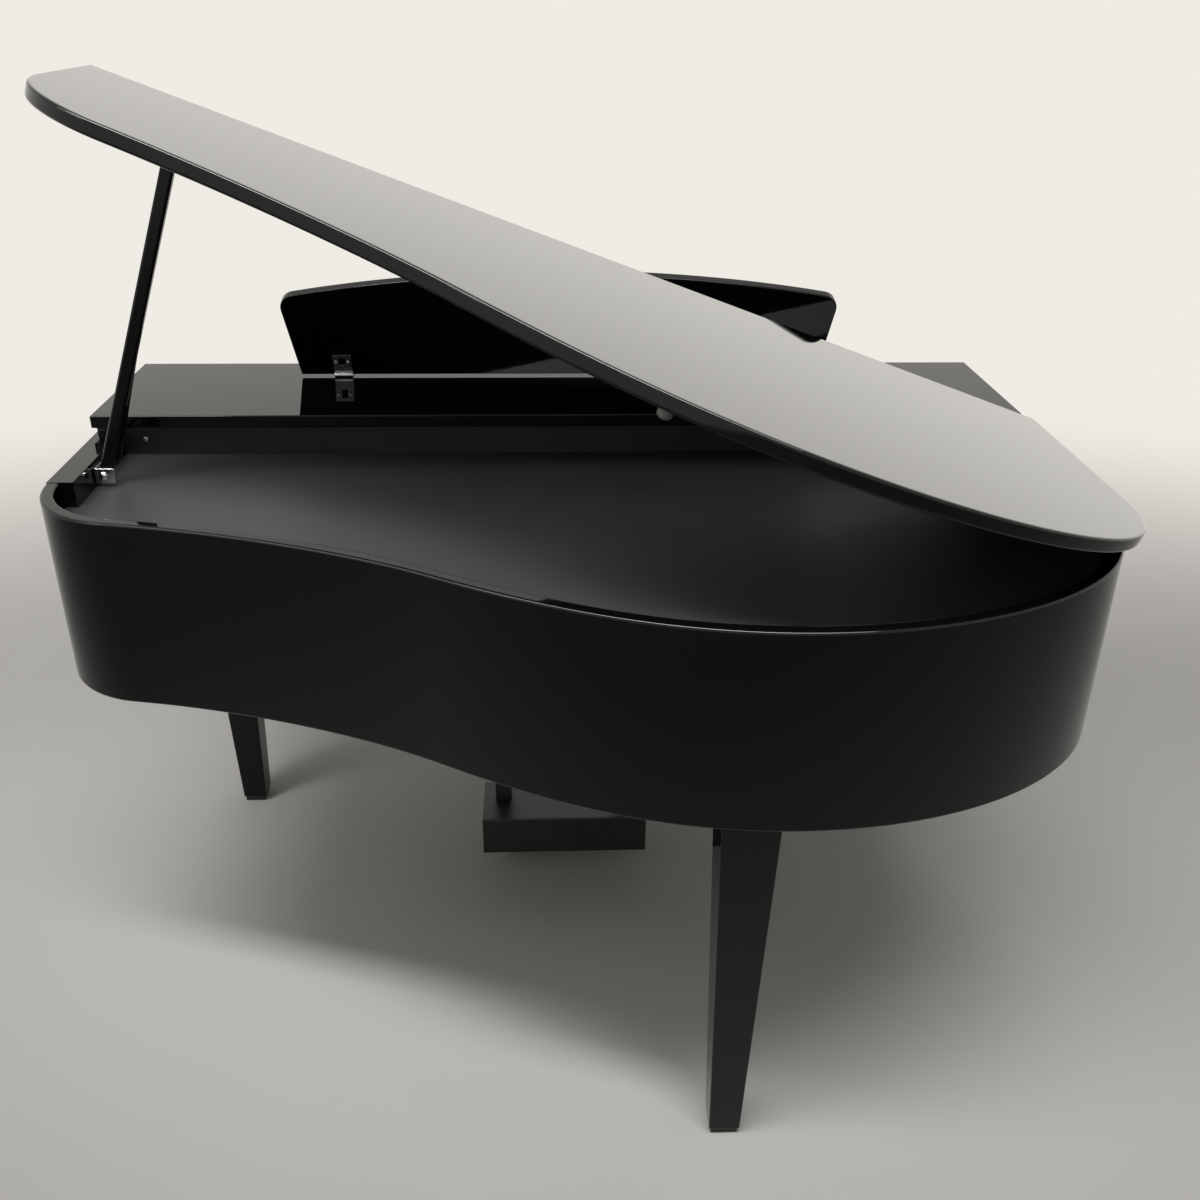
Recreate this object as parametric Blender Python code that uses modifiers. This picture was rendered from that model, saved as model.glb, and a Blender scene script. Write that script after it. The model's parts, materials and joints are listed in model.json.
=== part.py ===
"""Digital grand piano with its lid propped open, in metres.

+X is the treble side, +Y runs to the tail, +Z is up and the floor is z = 0.
The origin is on the floor under the middle of the case.
"""

import math

import bmesh
import bpy
from mathutils import Vector

# Clearance between pieces that touch on the real instrument.
GAP = 0.0003

# Share of the half width that rounds a fully round end, so its two arcs stay apart.
FULL_ROUND = 0.98

# Case.
CASE_WIDTH = 1.420
CASE_DEPTH = 1.100
RIM_HEIGHT = 0.267
RIM_THICK = 0.0185
ARM_THICK = 0.036
ARM_FRONT_ROUND = 0.095
ARM_FOOT_ROUND = 0.012
EDGE_ROUND = 0.0018

# The curved side: treble corner, bent side with its inflection, and tail.
CORNER_RADIUS = 0.145
CORNER_TURN = math.radians(80)
INFLECTION_X = 0.165
INFLECTION_FROM_TAIL = 0.1495
INFLECTION_HEADING = math.radians(147.8)
BENT_PULLS = (0.160, 0.120, 0.170, 0.160)
TAIL_PEAK_X = -0.270
TAIL_ROUND_DEPTH = 0.301
BEND_STEPS = 9
TAIL_STEPS = 12

# Legs and their rubber feet.
FOOT_HEIGHT = 0.010
FOOT_WIDTH = 0.038
LEG_HEIGHT = 0.582
LEG_TOP_WIDTH = 0.077
LEG_END_WIDTH = 0.044
FRONT_LEG_INSET = 0.090
FRONT_LEG_SETBACK = 0.200
TAIL_LEG_X = -0.220
TAIL_LEG_FROM_TAIL = 0.085

# Boards in the case.
BOTTOM_THICK = 0.018
DECK_DROP = 0.037
DECK_THICK = 0.010
KEY_AREA_DEPTH = 0.460
PANEL_DEPTH = 0.282
PANEL_THICK = 0.019
PARTITION_SETBACK = 0.022
PARTITION_THICK = 0.018
ARM_REACH = 0.190
SLIP_SETBACK = 0.004
SLIP_THICK = 0.018
SLIP_HEIGHT = 0.130

# Lid, its hinge, bumpers and prop.
LID_THICK = 0.019
LID_SPACE = 0.012
LID_OPEN = math.radians(20)
LID_OVERHANG = 0.004
LID_BASS_OVERHANG = 0.012
LID_FRONT_GAP = 0.004
LEAF_THICK = 0.002
LID_LEAF_REACH = 0.0125
LID_HINGE_START = 0.020
LID_HINGE_LENGTH = 0.300
LID_KNUCKLES = 5
LID_PIN_RADIUS = 0.002
BUMPER_RADIUS = 0.0085
BUMPER_TIP_RADIUS = 0.006
BUMPER_TAIL_X = -0.052
BUMPER_FROM_PANEL = 0.050
PROP_WIDTH = 0.018
PROP_THICK = 0.014
PROP_FROM_ARM = 0.014
PROP_FROM_DECK = 0.017
PROP_FROM_PANEL = 0.105
PROP_TIP_ROUND = 0.004
PIVOT_RADIUS = 0.003
PIVOT_HEAD_RADIUS = 0.0065
PIVOT_HEAD_HEIGHT = 0.004
SHORT_PROP_LENGTH = 0.206
SHORT_PROP_WIDTH = 0.010
SHORT_PROP_THICK = 0.008
SHORT_PROP_HEIGHT = 0.222
SHORT_PROP_SPLAY = math.radians(2.4)
BRACKET_THICK = 0.003
BRACKET_HEIGHT = 0.022
BRACKET_FLANGE = 0.029
BRACKET_LENGTH = 0.045
CUP_LENGTH = 0.040
CUP_WIDTH = 0.030
CUP_LIP = 0.012

# Music desk.
DESK_FROM_PANEL_BACK = 0.200
DESK_LEAN = math.radians(20)
DESK_THICK = 0.015
DESK_BOTTOM_WIDTH = 0.860
DESK_TOP_WIDTH = 0.894
DESK_SIDE_HEIGHT = 0.1445
DESK_MIDDLE_HEIGHT = 0.1865
DESK_FOOT = 0.0025
DESK_CORNER_ROUND = 0.026
DESK_HINGE_X = 0.360
DESK_HINGE_LENGTH = 0.030
DESK_KNUCKLE_RADIUS = 0.0035
DESK_KNUCKLES = 3
DESK_PIN_RADIUS = 0.0013
DESK_LEAF_REACH = 0.036
BASE_LEAF_REACH = 0.031
LEAF_WINDOW = (0.010, 0.014)
LEAF_WINDOW_HEIGHT = 0.024
LEDGE_WIDTH = 0.800
LEDGE_DEPTH = 0.025
LEDGE_THICK = 0.010

# Keyboard.
WHITE_COUNT = 52
CHEEK_WIDTH = 0.0615
WHITE_GAP = 0.001
WHITE_HEAD = 0.050
WHITE_ABOVE_SLIP = 0.013
KEY_THICK = 0.022
KEY_FRONT_GAP = 0.003
KEY_DIP = 0.010
BLACK_WIDTH = 0.010
BLACK_SHIFT = {"A": 0.0021, "C": -0.0014, "D": 0.0014, "F": -0.0021, "G": 0.0}
BLACK_SLOT = 0.0115
BLACK_ABOVE_WHITE = 0.012
BLACK_LENGTH = 0.110
BLACK_TAIL_THICK = 0.010
WHITE_BAR_THICK = 0.009
WHITE_BAR_DEPTH = 0.020
WHITE_PIVOT = 0.222
BLACK_BAR_DEPTH = 0.018
BAR_CLEARANCE = 0.0015
PIVOT_RAIL_THICK = 0.006
CHASSIS_THICK = 0.005
CHASSIS_WALL = 0.010
CHEEK_ABOVE_WHITE = 0.001
CHEEK_GAP = 0.0015

# Sliding key cover.
COVER_SLOPE = math.radians(6)
COVER_SETBACK = 0.004
COVER_UNDER_PANEL = 0.021
COVER_LENGTH = 0.185
COVER_THICK = 0.008
COVER_SIDE_GAP = 0.0015
COVER_TRAVEL = 0.165
APRON_THICK = 0.012
APRON_DROP = 0.085
RUNNER_LENGTH = 0.038
RUNNER_DEPTH = 0.006
GROOVE_CLEARANCE = 0.0005

# Controls on the bass cheek.
CONTROL_WIDTH = 0.044
CONTROL_LENGTH = 0.100
CONTROL_THICK = 0.003
CONTROL_FROM_SLIP = 0.028
CONTROL_CORNER = 0.0055
KNOB_FROM_END = 0.028
KNOB_RADIUS = 0.012
KNOB_HEIGHT = 0.0075
KNOB_CHAMFER = 0.0012
BUTTON_FROM_END = 0.028
BUTTON_RADIUS = 0.006
BUTTON_HEIGHT = 0.0025
BUTTON_TRAVEL = 0.0015

# Pedal box, posts and pedals.
PEDAL_BOX_WIDTH = 0.300
PEDAL_BOX_DEPTH = 0.119
PEDAL_BOX_HEIGHT = 0.076
PEDAL_BOX_FLOOR_GAP = 0.040
PEDAL_BOX_FROM_PANEL = 0.012
POST_WIDTH = 0.0295
POST_SPACING = 0.225
POST_FROM_BOX_BACK = 0.0605
PEDAL_SPACING = 0.066
PEDAL_STEM = 0.014
PEDAL_TIP_WIDTH = 0.024
PEDAL_REACH = 0.085
PEDAL_THICK = 0.008
PEDAL_PIVOT_DEPTH = 0.070
PEDAL_HUB_RADIUS = 0.007
PEDAL_SLOT_WIDTH = 0.020
PEDAL_SWING = math.radians(7)
PEDAL_SLOT_MARGIN = 0.0025

# Loudspeakers and power inlet.
SPEAKER_X = 0.330
SPEAKER_FROM_PANEL = 0.150
SPEAKER_RADIUS = 0.080
SPEAKER_HOLE_RADIUS = 0.063
SPEAKER_HEIGHT = 0.075
SPEAKER_FLANGE_THICK = 0.006
BASKET_RADIUS = 0.072
BASKET_NECK_RADIUS = 0.036
BASKET_HEIGHT = 0.0495
MAGNET_RADIUS = 0.045
MAGNET_THICK = 0.0225
CONE_RADIUS = 0.058
CONE_SETBACK = 0.004
DUST_CAP_RADIUS = 0.020
DUST_CAP_RIM = 0.030
DUST_CAP_TOP = 0.027
INLET_SIZE = (0.050, 0.030, 0.024)
INLET_RECESS = (0.027, 0.016, 0.018)
INLET_X = -0.450
INLET_FROM_PANEL = 0.290

# Places that follow from the sizes above.
HALF = CASE_WIDTH / 2
FRONT = -CASE_DEPTH / 2
TAIL = CASE_DEPTH / 2
CASE_BOTTOM = FOOT_HEIGHT + LEG_HEIGHT
RIM_TOP = CASE_BOTTOM + RIM_HEIGHT
PANEL_BOTTOM = RIM_TOP + LID_SPACE
PANEL_TOP = PANEL_BOTTOM + PANEL_THICK
PANEL_BACK = FRONT + KEY_AREA_DEPTH
PANEL_FRONT = PANEL_BACK - PANEL_DEPTH
PARTITION_BACK = PANEL_BACK - PARTITION_SETBACK
PARTITION_FRONT = PARTITION_BACK - PARTITION_THICK
ARM_END = PANEL_BACK + ARM_REACH
ARM_INNER = HALF - ARM_THICK
BOTTOM_TOP = CASE_BOTTOM + BOTTOM_THICK
DECK_TOP = RIM_TOP - DECK_DROP
SLIP_FRONT = FRONT + SLIP_SETBACK
SLIP_BACK = SLIP_FRONT + SLIP_THICK
SLIP_TOP = CASE_BOTTOM + SLIP_HEIGHT

LID_KNUCKLE_RADIUS = LID_SPACE / 2 - GAP
HINGE_X = -HALF + LID_KNUCKLE_RADIUS + GAP
HINGE_Z = RIM_TOP + LID_SPACE / 2
PROP_X = ARM_INNER - PROP_FROM_ARM
PROP_Y = PANEL_BACK + PROP_FROM_PANEL
PROP_Z = DECK_TOP + PROP_FROM_DECK
DESK_AXIS_Y = PANEL_BACK - DESK_FROM_PANEL_BACK
DESK_AXIS_Z = PANEL_TOP + DESK_KNUCKLE_RADIUS + GAP
DESK_BACK = -DESK_KNUCKLE_RADIUS - GAP

KEYS_HALF = ARM_INNER - CHEEK_WIDTH - CHEEK_GAP
WHITE_PITCH = 2 * KEYS_HALF / WHITE_COUNT
KEY_FRONT = SLIP_BACK + KEY_FRONT_GAP
WHITE_TOP = SLIP_TOP + WHITE_ABOVE_SLIP
WHITE_BOTTOM = WHITE_TOP - KEY_THICK
BLACK_TOP = WHITE_TOP + BLACK_ABOVE_WHITE
BLACK_BOTTOM = WHITE_BOTTOM + WHITE_BAR_THICK + BAR_CLEARANCE
WHITE_AXIS_Y = KEY_FRONT + WHITE_PIVOT
WHITE_BAR_FRONT = WHITE_AXIS_Y - WHITE_BAR_DEPTH / 2
WHITE_BAR_BACK = WHITE_AXIS_Y + WHITE_BAR_DEPTH / 2
BLACK_BAR_FRONT = WHITE_BAR_BACK + 2 * BAR_CLEARANCE
BLACK_BAR_BACK = BLACK_BAR_FRONT + BLACK_BAR_DEPTH
BLACK_AXIS_Y = (BLACK_BAR_FRONT + BLACK_BAR_BACK) / 2
BLACK_FRONT = KEY_FRONT + WHITE_HEAD + WHITE_GAP
CHEEK_TOP = WHITE_TOP + CHEEK_ABOVE_WHITE
CHEEK_INNER = ARM_INNER - CHEEK_WIDTH

BOX_BACK = PANEL_BACK - PEDAL_BOX_FROM_PANEL
BOX_FRONT = BOX_BACK - PEDAL_BOX_DEPTH
BOX_TOP = PEDAL_BOX_FLOOR_GAP + PEDAL_BOX_HEIGHT
PEDAL_AXIS_Y = BOX_FRONT + PEDAL_PIVOT_DEPTH
PEDAL_AXIS_Z = PEDAL_BOX_FLOOR_GAP + PEDAL_BOX_HEIGHT / 2

# Colour (linear), roughness and metallic value of each material.
LOOKS = {
    "black_polyester": ((0.006, 0.006, 0.007), 0.06, 0.0),
    "matte_black_board": ((0.010, 0.011, 0.014), 0.55, 0.0),
    "charcoal_deck": ((0.032, 0.034, 0.034), 0.70, 0.0),
    "satin_black": ((0.012, 0.012, 0.012), 0.35, 0.0),
    "black_rubber": ((0.015, 0.015, 0.015), 0.80, 0.0),
    "pale_rubber": ((0.450, 0.450, 0.430), 0.55, 0.0),
    "brushed_steel": ((0.560, 0.570, 0.580), 0.30, 1.0),
    "chrome": ((0.750, 0.750, 0.760), 0.10, 1.0),
    "brass": ((0.720, 0.520, 0.200), 0.22, 1.0),
    "white_key": ((0.780, 0.770, 0.730), 0.18, 0.0),
    "black_key": ((0.012, 0.012, 0.013), 0.30, 0.0),
    "black_plastic": ((0.018, 0.018, 0.019), 0.45, 0.0),
    "speaker_black": ((0.022, 0.022, 0.022), 0.60, 0.0),
}

PLANES = {
    "XY": (0.0, 0.0, 0.0),
    "XZ": (math.pi / 2, 0.0, 0.0),
    "YZ": (math.pi / 2, 0.0, math.pi / 2),
}


def clear_scene():
    for item in list(bpy.data.objects):
        bpy.data.objects.remove(item)


def new_collection(name):
    collection = bpy.data.collections.new(name)
    bpy.context.scene.collection.children.link(collection)
    return collection


def make_materials():
    for name, (colour, roughness, metallic) in LOOKS.items():
        material = bpy.data.materials.new(name)
        material.use_nodes = True
        shader = material.node_tree.nodes["Principled BSDF"]
        shader.inputs["Base Color"].default_value = (*colour, 1.0)
        shader.inputs["Roughness"].default_value = roughness
        shader.inputs["Metallic"].default_value = metallic


def add_frame(name, location, rotation=(0.0, 0.0, 0.0)):
    """An empty that carries the pieces turning or sliding about one place."""
    frame = bpy.data.objects.new(name, None)
    PARTS.objects.link(frame)
    frame.location = location
    frame.rotation_euler = rotation
    return frame


def add_piece(name, mesh, look, frame, location=(0.0, 0.0, 0.0), rotation=(0.0, 0.0, 0.0)):
    """A named piece, placed in its frame; without a look it is a cutter."""
    piece = bpy.data.objects.new(name, mesh)
    piece.location = location
    piece.rotation_euler = rotation
    piece.parent = frame
    if look:
        mesh.materials.append(bpy.data.materials[look])
        PARTS.objects.link(piece)
    else:
        CUTTERS.objects.link(piece)
        piece.hide_render = True
        piece.display_type = "WIRE"
    return piece


def round_edges(piece, width, segments=2):
    bevel = piece.modifiers.new("round_edges", "BEVEL")
    bevel.width = width
    bevel.segments = segments
    bevel.limit_method = "ANGLE"
    bevel.angle_limit = math.radians(40)


def combine(piece, other, operation):
    boolean = piece.modifiers.new(operation.lower(), "BOOLEAN")
    boolean.operation = operation
    boolean.object = other


def box(name, low, high, look=None, frame=None):
    """A block between two opposite corners."""
    low = Vector(low)
    high = Vector(high)
    shape = bmesh.new()
    bmesh.ops.create_cube(shape, size=1.0)
    bmesh.ops.scale(shape, vec=high - low, verts=shape.verts)
    mesh = bpy.data.meshes.new(name)
    shape.to_mesh(mesh)
    shape.free()
    return add_piece(name, mesh, look, frame, (low + high) / 2)


def rod(name, radius, length, centre, axis, look=None, frame=None, sides=20):
    """A plain cylinder along X, Y or Z."""
    turn = {"X": (0.0, math.pi / 2, 0.0), "Y": (math.pi / 2, 0.0, 0.0), "Z": (0.0, 0.0, 0.0)}
    shape = bmesh.new()
    bmesh.ops.create_cone(
        shape, cap_ends=True, segments=sides, radius1=radius, radius2=radius, depth=length
    )
    mesh = bpy.data.meshes.new(name)
    shape.to_mesh(mesh)
    shape.free()
    smooth(mesh)
    return add_piece(name, mesh, look, frame, centre, turn[axis])


def smooth(mesh):
    mesh.shade_smooth()
    mesh.set_sharp_from_angle(angle=math.radians(40))


def slab(name, outlines, low, high, plane, look=None, frame=None):
    """Closed outlines, the later ones being holes, given a thickness across their plane."""
    curve = bpy.data.curves.new(name, "CURVE")
    curve.dimensions = "2D"
    curve.fill_mode = "BOTH"
    curve.extrude = (high - low) / 2
    for outline in outlines:
        spline = curve.splines.new("POLY")
        spline.points.add(len(outline) - 1)
        for point, (across, along) in zip(spline.points, outline):
            point.co = (across, along, 0.0, 1.0)
        spline.use_cyclic_u = True
    guide = bpy.data.objects.new(name + "_outline", curve)
    bpy.context.scene.collection.objects.link(guide)
    bpy.context.view_layer.update()
    flat = guide.evaluated_get(bpy.context.evaluated_depsgraph_get())
    mesh = bpy.data.meshes.new_from_object(flat)
    bpy.data.objects.remove(guide)
    shape = bmesh.new()
    shape.from_mesh(mesh)
    bmesh.ops.remove_doubles(shape, verts=shape.verts, dist=0.00001)
    bmesh.ops.dissolve_degenerate(shape, dist=0.00001, edges=shape.edges)
    shape.to_mesh(mesh)
    shape.free()
    mesh.name = name
    middle = (high + low) / 2
    location = {"XY": (0, 0, middle), "XZ": (0, middle, 0), "YZ": (middle, 0, 0)}
    return add_piece(name, mesh, look, frame, location[plane], PLANES[plane])


def turned(name, profile, look, location, rotation=(0.0, 0.0, 0.0), frame=None, steps=24):
    """A profile of radius and height, from the top to the bottom, turned about its own Z."""
    mesh = bpy.data.meshes.new(name)
    points = [(radius, 0.0, height) for radius, height in profile]
    mesh.from_pydata(points, [(place, place + 1) for place in range(len(points) - 1)], [])
    piece = add_piece(name, mesh, look, frame, location, rotation)
    screw = piece.modifiers.new("turn", "SCREW")
    screw.steps = steps
    screw.render_steps = steps
    screw.use_merge_vertices = True
    screw.merge_threshold = 0.00001
    return piece


def arc(centre, radius, start, end, steps):
    """Points on a circular arc, both ends included."""
    angles = [start + (end - start) * step / steps for step in range(steps + 1)]
    return [
        (centre[0] + radius * math.cos(angle), centre[1] + radius * math.sin(angle))
        for angle in angles
    ]


def rounded(corners, steps=6):
    """An outline whose corners are given as (x, y, radius)."""
    outline = []
    for place, (x, y, radius) in enumerate(corners):
        here = Vector((x, y))
        if radius <= 0:
            outline.append((x, y))
            continue
        before = (Vector(corners[place - 1][:2]) - here).normalized()
        after = (Vector(corners[(place + 1) % len(corners)][:2]) - here).normalized()
        half_angle = before.angle(after) / 2
        middle = here + (before + after).normalized() * radius / math.sin(half_angle)
        first = here + before * radius / math.tan(half_angle) - middle
        last = here + after * radius / math.tan(half_angle) - middle
        turn = first.angle_signed(last)
        start = math.atan2(first.y, first.x)
        outline.extend(arc(middle, radius, start, start - turn, steps))
    return outline


def bezier_stretch(start, start_heading, start_pull, end, end_heading, end_pull, steps):
    """Points and outward normals along one cubic curve, its start left out."""
    first = Vector(start)
    last = Vector(end)
    second = first + Vector((math.cos(start_heading), math.sin(start_heading))) * start_pull
    third = last - Vector((math.cos(end_heading), math.sin(end_heading))) * end_pull
    stretch = []
    for step in range(1, steps + 1):
        t = step / steps
        u = 1 - t
        point = first * u**3 + second * 3 * u * u * t + third * 3 * u * t * t + last * t**3
        along = (second - first) * u * u + (third - second) * 2 * u * t + (last - third) * t * t
        along.normalize()
        stretch.append((point, Vector((along.y, -along.x))))
    return stretch


def curved_side():
    """Points and outward normals from the treble corner round the tail to the bass side."""
    corner = Vector((HALF - CORNER_RADIUS, ARM_END))
    trail = []
    for step in range(1, BEND_STEPS + 1):
        angle = CORNER_TURN * step / BEND_STEPS
        normal = Vector((math.cos(angle), math.sin(angle)))
        trail.append((corner + normal * CORNER_RADIUS, normal))
    inflection = (INFLECTION_X, TAIL - INFLECTION_FROM_TAIL)
    leave, arrive, leave_again, arrive_again = BENT_PULLS
    corner_heading = CORNER_TURN + math.pi / 2
    trail += bezier_stretch(
        trail[-1][0], corner_heading, leave, inflection, INFLECTION_HEADING, arrive, BEND_STEPS
    )
    trail += bezier_stretch(
        inflection, INFLECTION_HEADING, leave_again, (TAIL_PEAK_X, TAIL), math.pi, arrive_again, BEND_STEPS
    )
    run = HALF + TAIL_PEAK_X
    centre = Vector((TAIL_PEAK_X, TAIL - TAIL_ROUND_DEPTH))
    for step in range(1, TAIL_STEPS + 1):
        angle = math.pi / 2 * (1 + step / TAIL_STEPS)
        across = math.cos(angle)
        along = math.sin(angle)
        normal = Vector((across / run, along / TAIL_ROUND_DEPTH)).normalized()
        trail.append((centre + Vector((across * run, along * TAIL_ROUND_DEPTH)), normal))
    return trail


def case_line(offset, front, bass_extra=0.0):
    """The case's line from the treble side round the tail to the bass side, moved outward."""
    middle = [
        tuple(point + normal * (offset + bass_extra * max(0.0, -normal.x)))
        for point, normal in curved_side()
    ]
    return [(HALF + offset, front)] + middle + [(-HALF - offset - bass_extra, front)]


def middle_of_rim(x):
    """The point at x halfway through the rim's thickness, on the bent side or the tail."""
    trail = curved_side()
    for (before, _), (after, normal) in zip(trail, trail[1:]):
        if after.x <= x <= before.x:
            share = (before.x - x) / (before.x - after.x)
            return before.lerp(after, share) - normal * RIM_THICK / 2
    return None


def board_outline(front):
    """A board inside the arms and the rim, from a front line to the tail."""
    side = ARM_INNER - GAP
    line = case_line(-RIM_THICK - GAP, ARM_END + GAP)
    return [(side, front), (side, ARM_END + GAP)] + line + [(-side, ARM_END + GAP), (-side, front)]


def make_case():
    """Rim, arms and boards, glued and screwed together."""
    outer = case_line(0.0, ARM_END + GAP)
    inner = case_line(-RIM_THICK, ARM_END + GAP)
    rim = slab("rim", [outer + inner[::-1]], CASE_BOTTOM, RIM_TOP, "XY", "black_polyester")
    round_edges(rim, EDGE_ROUND)

    arm_profile = rounded([
        (ARM_END, CASE_BOTTOM, 0),
        (ARM_END, RIM_TOP, 0),
        (FRONT, RIM_TOP, ARM_FRONT_ROUND),
        (FRONT, CASE_BOTTOM, ARM_FOOT_ROUND),
    ], steps=8)
    grooves = cover_grooves()
    for side, low, high in (("treble", ARM_INNER, HALF), ("bass", -HALF, -ARM_INNER)):
        arm = slab(side + "_arm", [arm_profile], low, high, "YZ", "black_polyester")
        round_edges(arm, EDGE_ROUND)
        combine(arm, grooves[side], "DIFFERENCE")

    holes = [
        arc((x, PANEL_BACK + SPEAKER_FROM_PANEL), SPEAKER_HOLE_RADIUS, 0, 2 * math.pi, 24)[:-1]
        for x in (-SPEAKER_X, SPEAKER_X)
    ]
    bottom = [board_outline(SLIP_BACK + GAP)] + holes
    slab("bottom_board", bottom, CASE_BOTTOM, BOTTOM_TOP, "XY", "satin_black")
    deck = board_outline(PARTITION_BACK + GAP)
    slab("deck", [deck], DECK_TOP - DECK_THICK, DECK_TOP, "XY", "charcoal_deck")

    side = ARM_INNER - GAP
    strip = RIM_TOP + GAP
    partition = [
        (-side, BOTTOM_TOP + GAP),
        (side, BOTTOM_TOP + GAP),
        (side, strip),
        (HALF, strip),
        (HALF, PANEL_BOTTOM - GAP),
        (-HALF, PANEL_BOTTOM - GAP),
        (-HALF, strip),
        (-side, strip),
    ]
    slab("partition", [partition], PARTITION_FRONT, PARTITION_BACK, "XZ", "matte_black_board")

    panel = box(
        "top_panel",
        (-HALF, PANEL_FRONT, PANEL_BOTTOM),
        (HALF, PANEL_BACK, PANEL_TOP),
        "black_polyester",
    )
    round_edges(panel, EDGE_ROUND)
    slip = box(
        "key_slip", (-side, SLIP_FRONT, CASE_BOTTOM), (side, SLIP_BACK, SLIP_TOP), "black_polyester"
    )
    round_edges(slip, EDGE_ROUND)
    cheek_ends = (SLIP_BACK + GAP, PANEL_FRONT)
    for name, low, high in (("cheek_treble", CHEEK_INNER, side), ("cheek_bass", -side, -CHEEK_INNER)):
        cheek = box(
            name,
            (low, cheek_ends[0], BOTTOM_TOP + GAP),
            (high, cheek_ends[1], CHEEK_TOP),
            "black_polyester",
        )
        round_edges(cheek, EDGE_ROUND)


def cover_frame(name):
    place = (0.0, PANEL_FRONT + COVER_SETBACK, PANEL_BOTTOM - COVER_UNDER_PANEL)
    return add_frame(name, place, (COVER_SLOPE, 0.0, 0.0))


def cover_grooves():
    """Cutters for the sloping grooves that the key cover's runners slide in."""
    frame = cover_frame("groove_frame")
    depth = ARM_INNER + RUNNER_DEPTH + GROOVE_CLEARANCE
    past_face = ARM_INNER - ARM_THICK / 2
    front = -COVER_TRAVEL - GROOVE_CLEARANCE
    back = RUNNER_LENGTH + GROOVE_CLEARANCE
    below = -COVER_THICK - GROOVE_CLEARANCE
    grooves = {}
    for side, low, high in (("treble", past_face, depth), ("bass", -depth, -past_face)):
        corner = (low, front, below)
        opposite = (high, back, GROOVE_CLEARANCE)
        grooves[side] = box("groove_" + side, corner, opposite, frame=frame)
    return grooves


def make_key_cover():
    """Sliding cover: a thin board with an apron, pushed back under the top panel."""
    frame = cover_frame("key_cover_slide")
    side = ARM_INNER - COVER_SIDE_GAP
    reach = ARM_INNER + RUNNER_DEPTH
    cover = box(
        "key_cover", (-side, 0, -COVER_THICK), (side, COVER_LENGTH, 0), "black_polyester", frame
    )
    apron = box(
        "apron", (-side, 0, -APRON_DROP), (side, APRON_THICK, -COVER_THICK / 2), frame=frame
    )
    runners = box("runners", (-reach, GAP, -COVER_THICK), (reach, RUNNER_LENGTH, 0), frame=frame)
    combine(cover, apron, "UNION")
    combine(cover, runners, "UNION")


def hinge_profile(radius, thickness, reach):
    """Knuckle and leaf in one outline, the leaf lying along -radius."""
    meet = math.asin((thickness - radius) / radius)
    knuckle = arc((0.0, 0.0), radius, meet, 1.5 * math.pi, 18)
    return knuckle + [(reach, -radius), (reach, thickness - radius)]


def knuckle_bays(start, length, count, own):
    """The stretches along a hinge that belong to the other leaf."""
    bay = length / count
    others = [place for place in range(count) if place % 2 != own]
    margin = GAP / 2
    return [
        (
            start + place * bay - (margin if place else bay),
            start + (place + 1) * bay + (margin if place < count - 1 else bay),
        )
        for place in others
    ]


def make_lid():
    """Lid on a long knuckle hinge at the bass side, with rubber bumpers under it."""
    frame = add_frame("lid_hinge_axis", (HINGE_X, 0.0, HINGE_Z), (0.0, -LID_OPEN, 0.0))
    under = LID_SPACE / 2
    line = case_line(LID_OVERHANG, PANEL_BACK + LID_FRONT_GAP, LID_BASS_OVERHANG - LID_OVERHANG)
    outline = [(x - HINGE_X, y) for x, y in line]
    lid = slab("lid", [outline], under, under + LID_THICK, "XY", "black_polyester", frame)
    round_edges(lid, EDGE_ROUND)

    radius = LID_KNUCKLE_RADIUS
    profile = hinge_profile(radius, LEAF_THICK, LID_LEAF_REACH)
    turned_over = [(across, -along) for across, along in profile]
    start = PANEL_BACK + LID_HINGE_START
    end = start + LID_HINGE_LENGTH
    fixed_frame = add_frame("lid_hinge_fixed", (HINGE_X, 0.0, HINGE_Z))
    fixed = slab("lid_hinge_lower_leaf", [profile], start, end, "XZ", "brushed_steel", fixed_frame)
    moving = slab("lid_hinge_upper_leaf", [turned_over], start, end, "XZ", "brushed_steel", frame)
    beyond = 2 * radius
    for leaf, own, parent in ((fixed, 0, fixed_frame), (moving, 1, frame)):
        for low, high in knuckle_bays(start, LID_HINGE_LENGTH, LID_KNUCKLES, own):
            bay = box(
                leaf.name + "_bay", (-beyond, low, -beyond), (radius + GAP, high, beyond), frame=parent
            )
            combine(leaf, bay, "DIFFERENCE")
    middle = (0.0, (start + end) / 2, 0.0)
    pin_length = LID_HINGE_LENGTH - GAP
    pin = rod("lid_hinge_pin", LID_PIN_RADIUS, pin_length, middle, "Y", frame=fixed_frame, sides=12)
    combine(fixed, pin, "UNION")
    bore = rod(
        "lid_hinge_bore", LID_PIN_RADIUS + GAP, 2 * LID_HINGE_LENGTH, middle, "Y", frame=frame, sides=12
    )
    combine(moving, bore, "DIFFERENCE")

    over_arm = (HALF - ARM_THICK / 2, PANEL_BACK + BUMPER_FROM_PANEL)
    places = {"tail": middle_of_rim(BUMPER_TAIL_X), "treble": over_arm}
    for name, (x, y) in places.items():
        turned(
            "lid_bumper_" + name,
            [
                (0.0, under - GAP),
                (BUMPER_RADIUS, under - GAP),
                (BUMPER_RADIUS, -under / 2),
                (BUMPER_TIP_RADIUS, GAP - under),
                (0.0, GAP - under),
            ],
            "pale_rubber",
            (x - HINGE_X, y, 0.0),
            frame=frame,
        )
    make_prop_cup(frame)


def prop_in_lid_frame():
    """The prop's pivot in the lid's frame: distance along the lid, and below the axis."""
    across = PROP_X - HINGE_X
    up = PROP_Z - HINGE_Z
    along = across * math.cos(LID_OPEN) + up * math.sin(LID_OPEN)
    below = across * math.sin(LID_OPEN) - up * math.cos(LID_OPEN)
    return along, below


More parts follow.
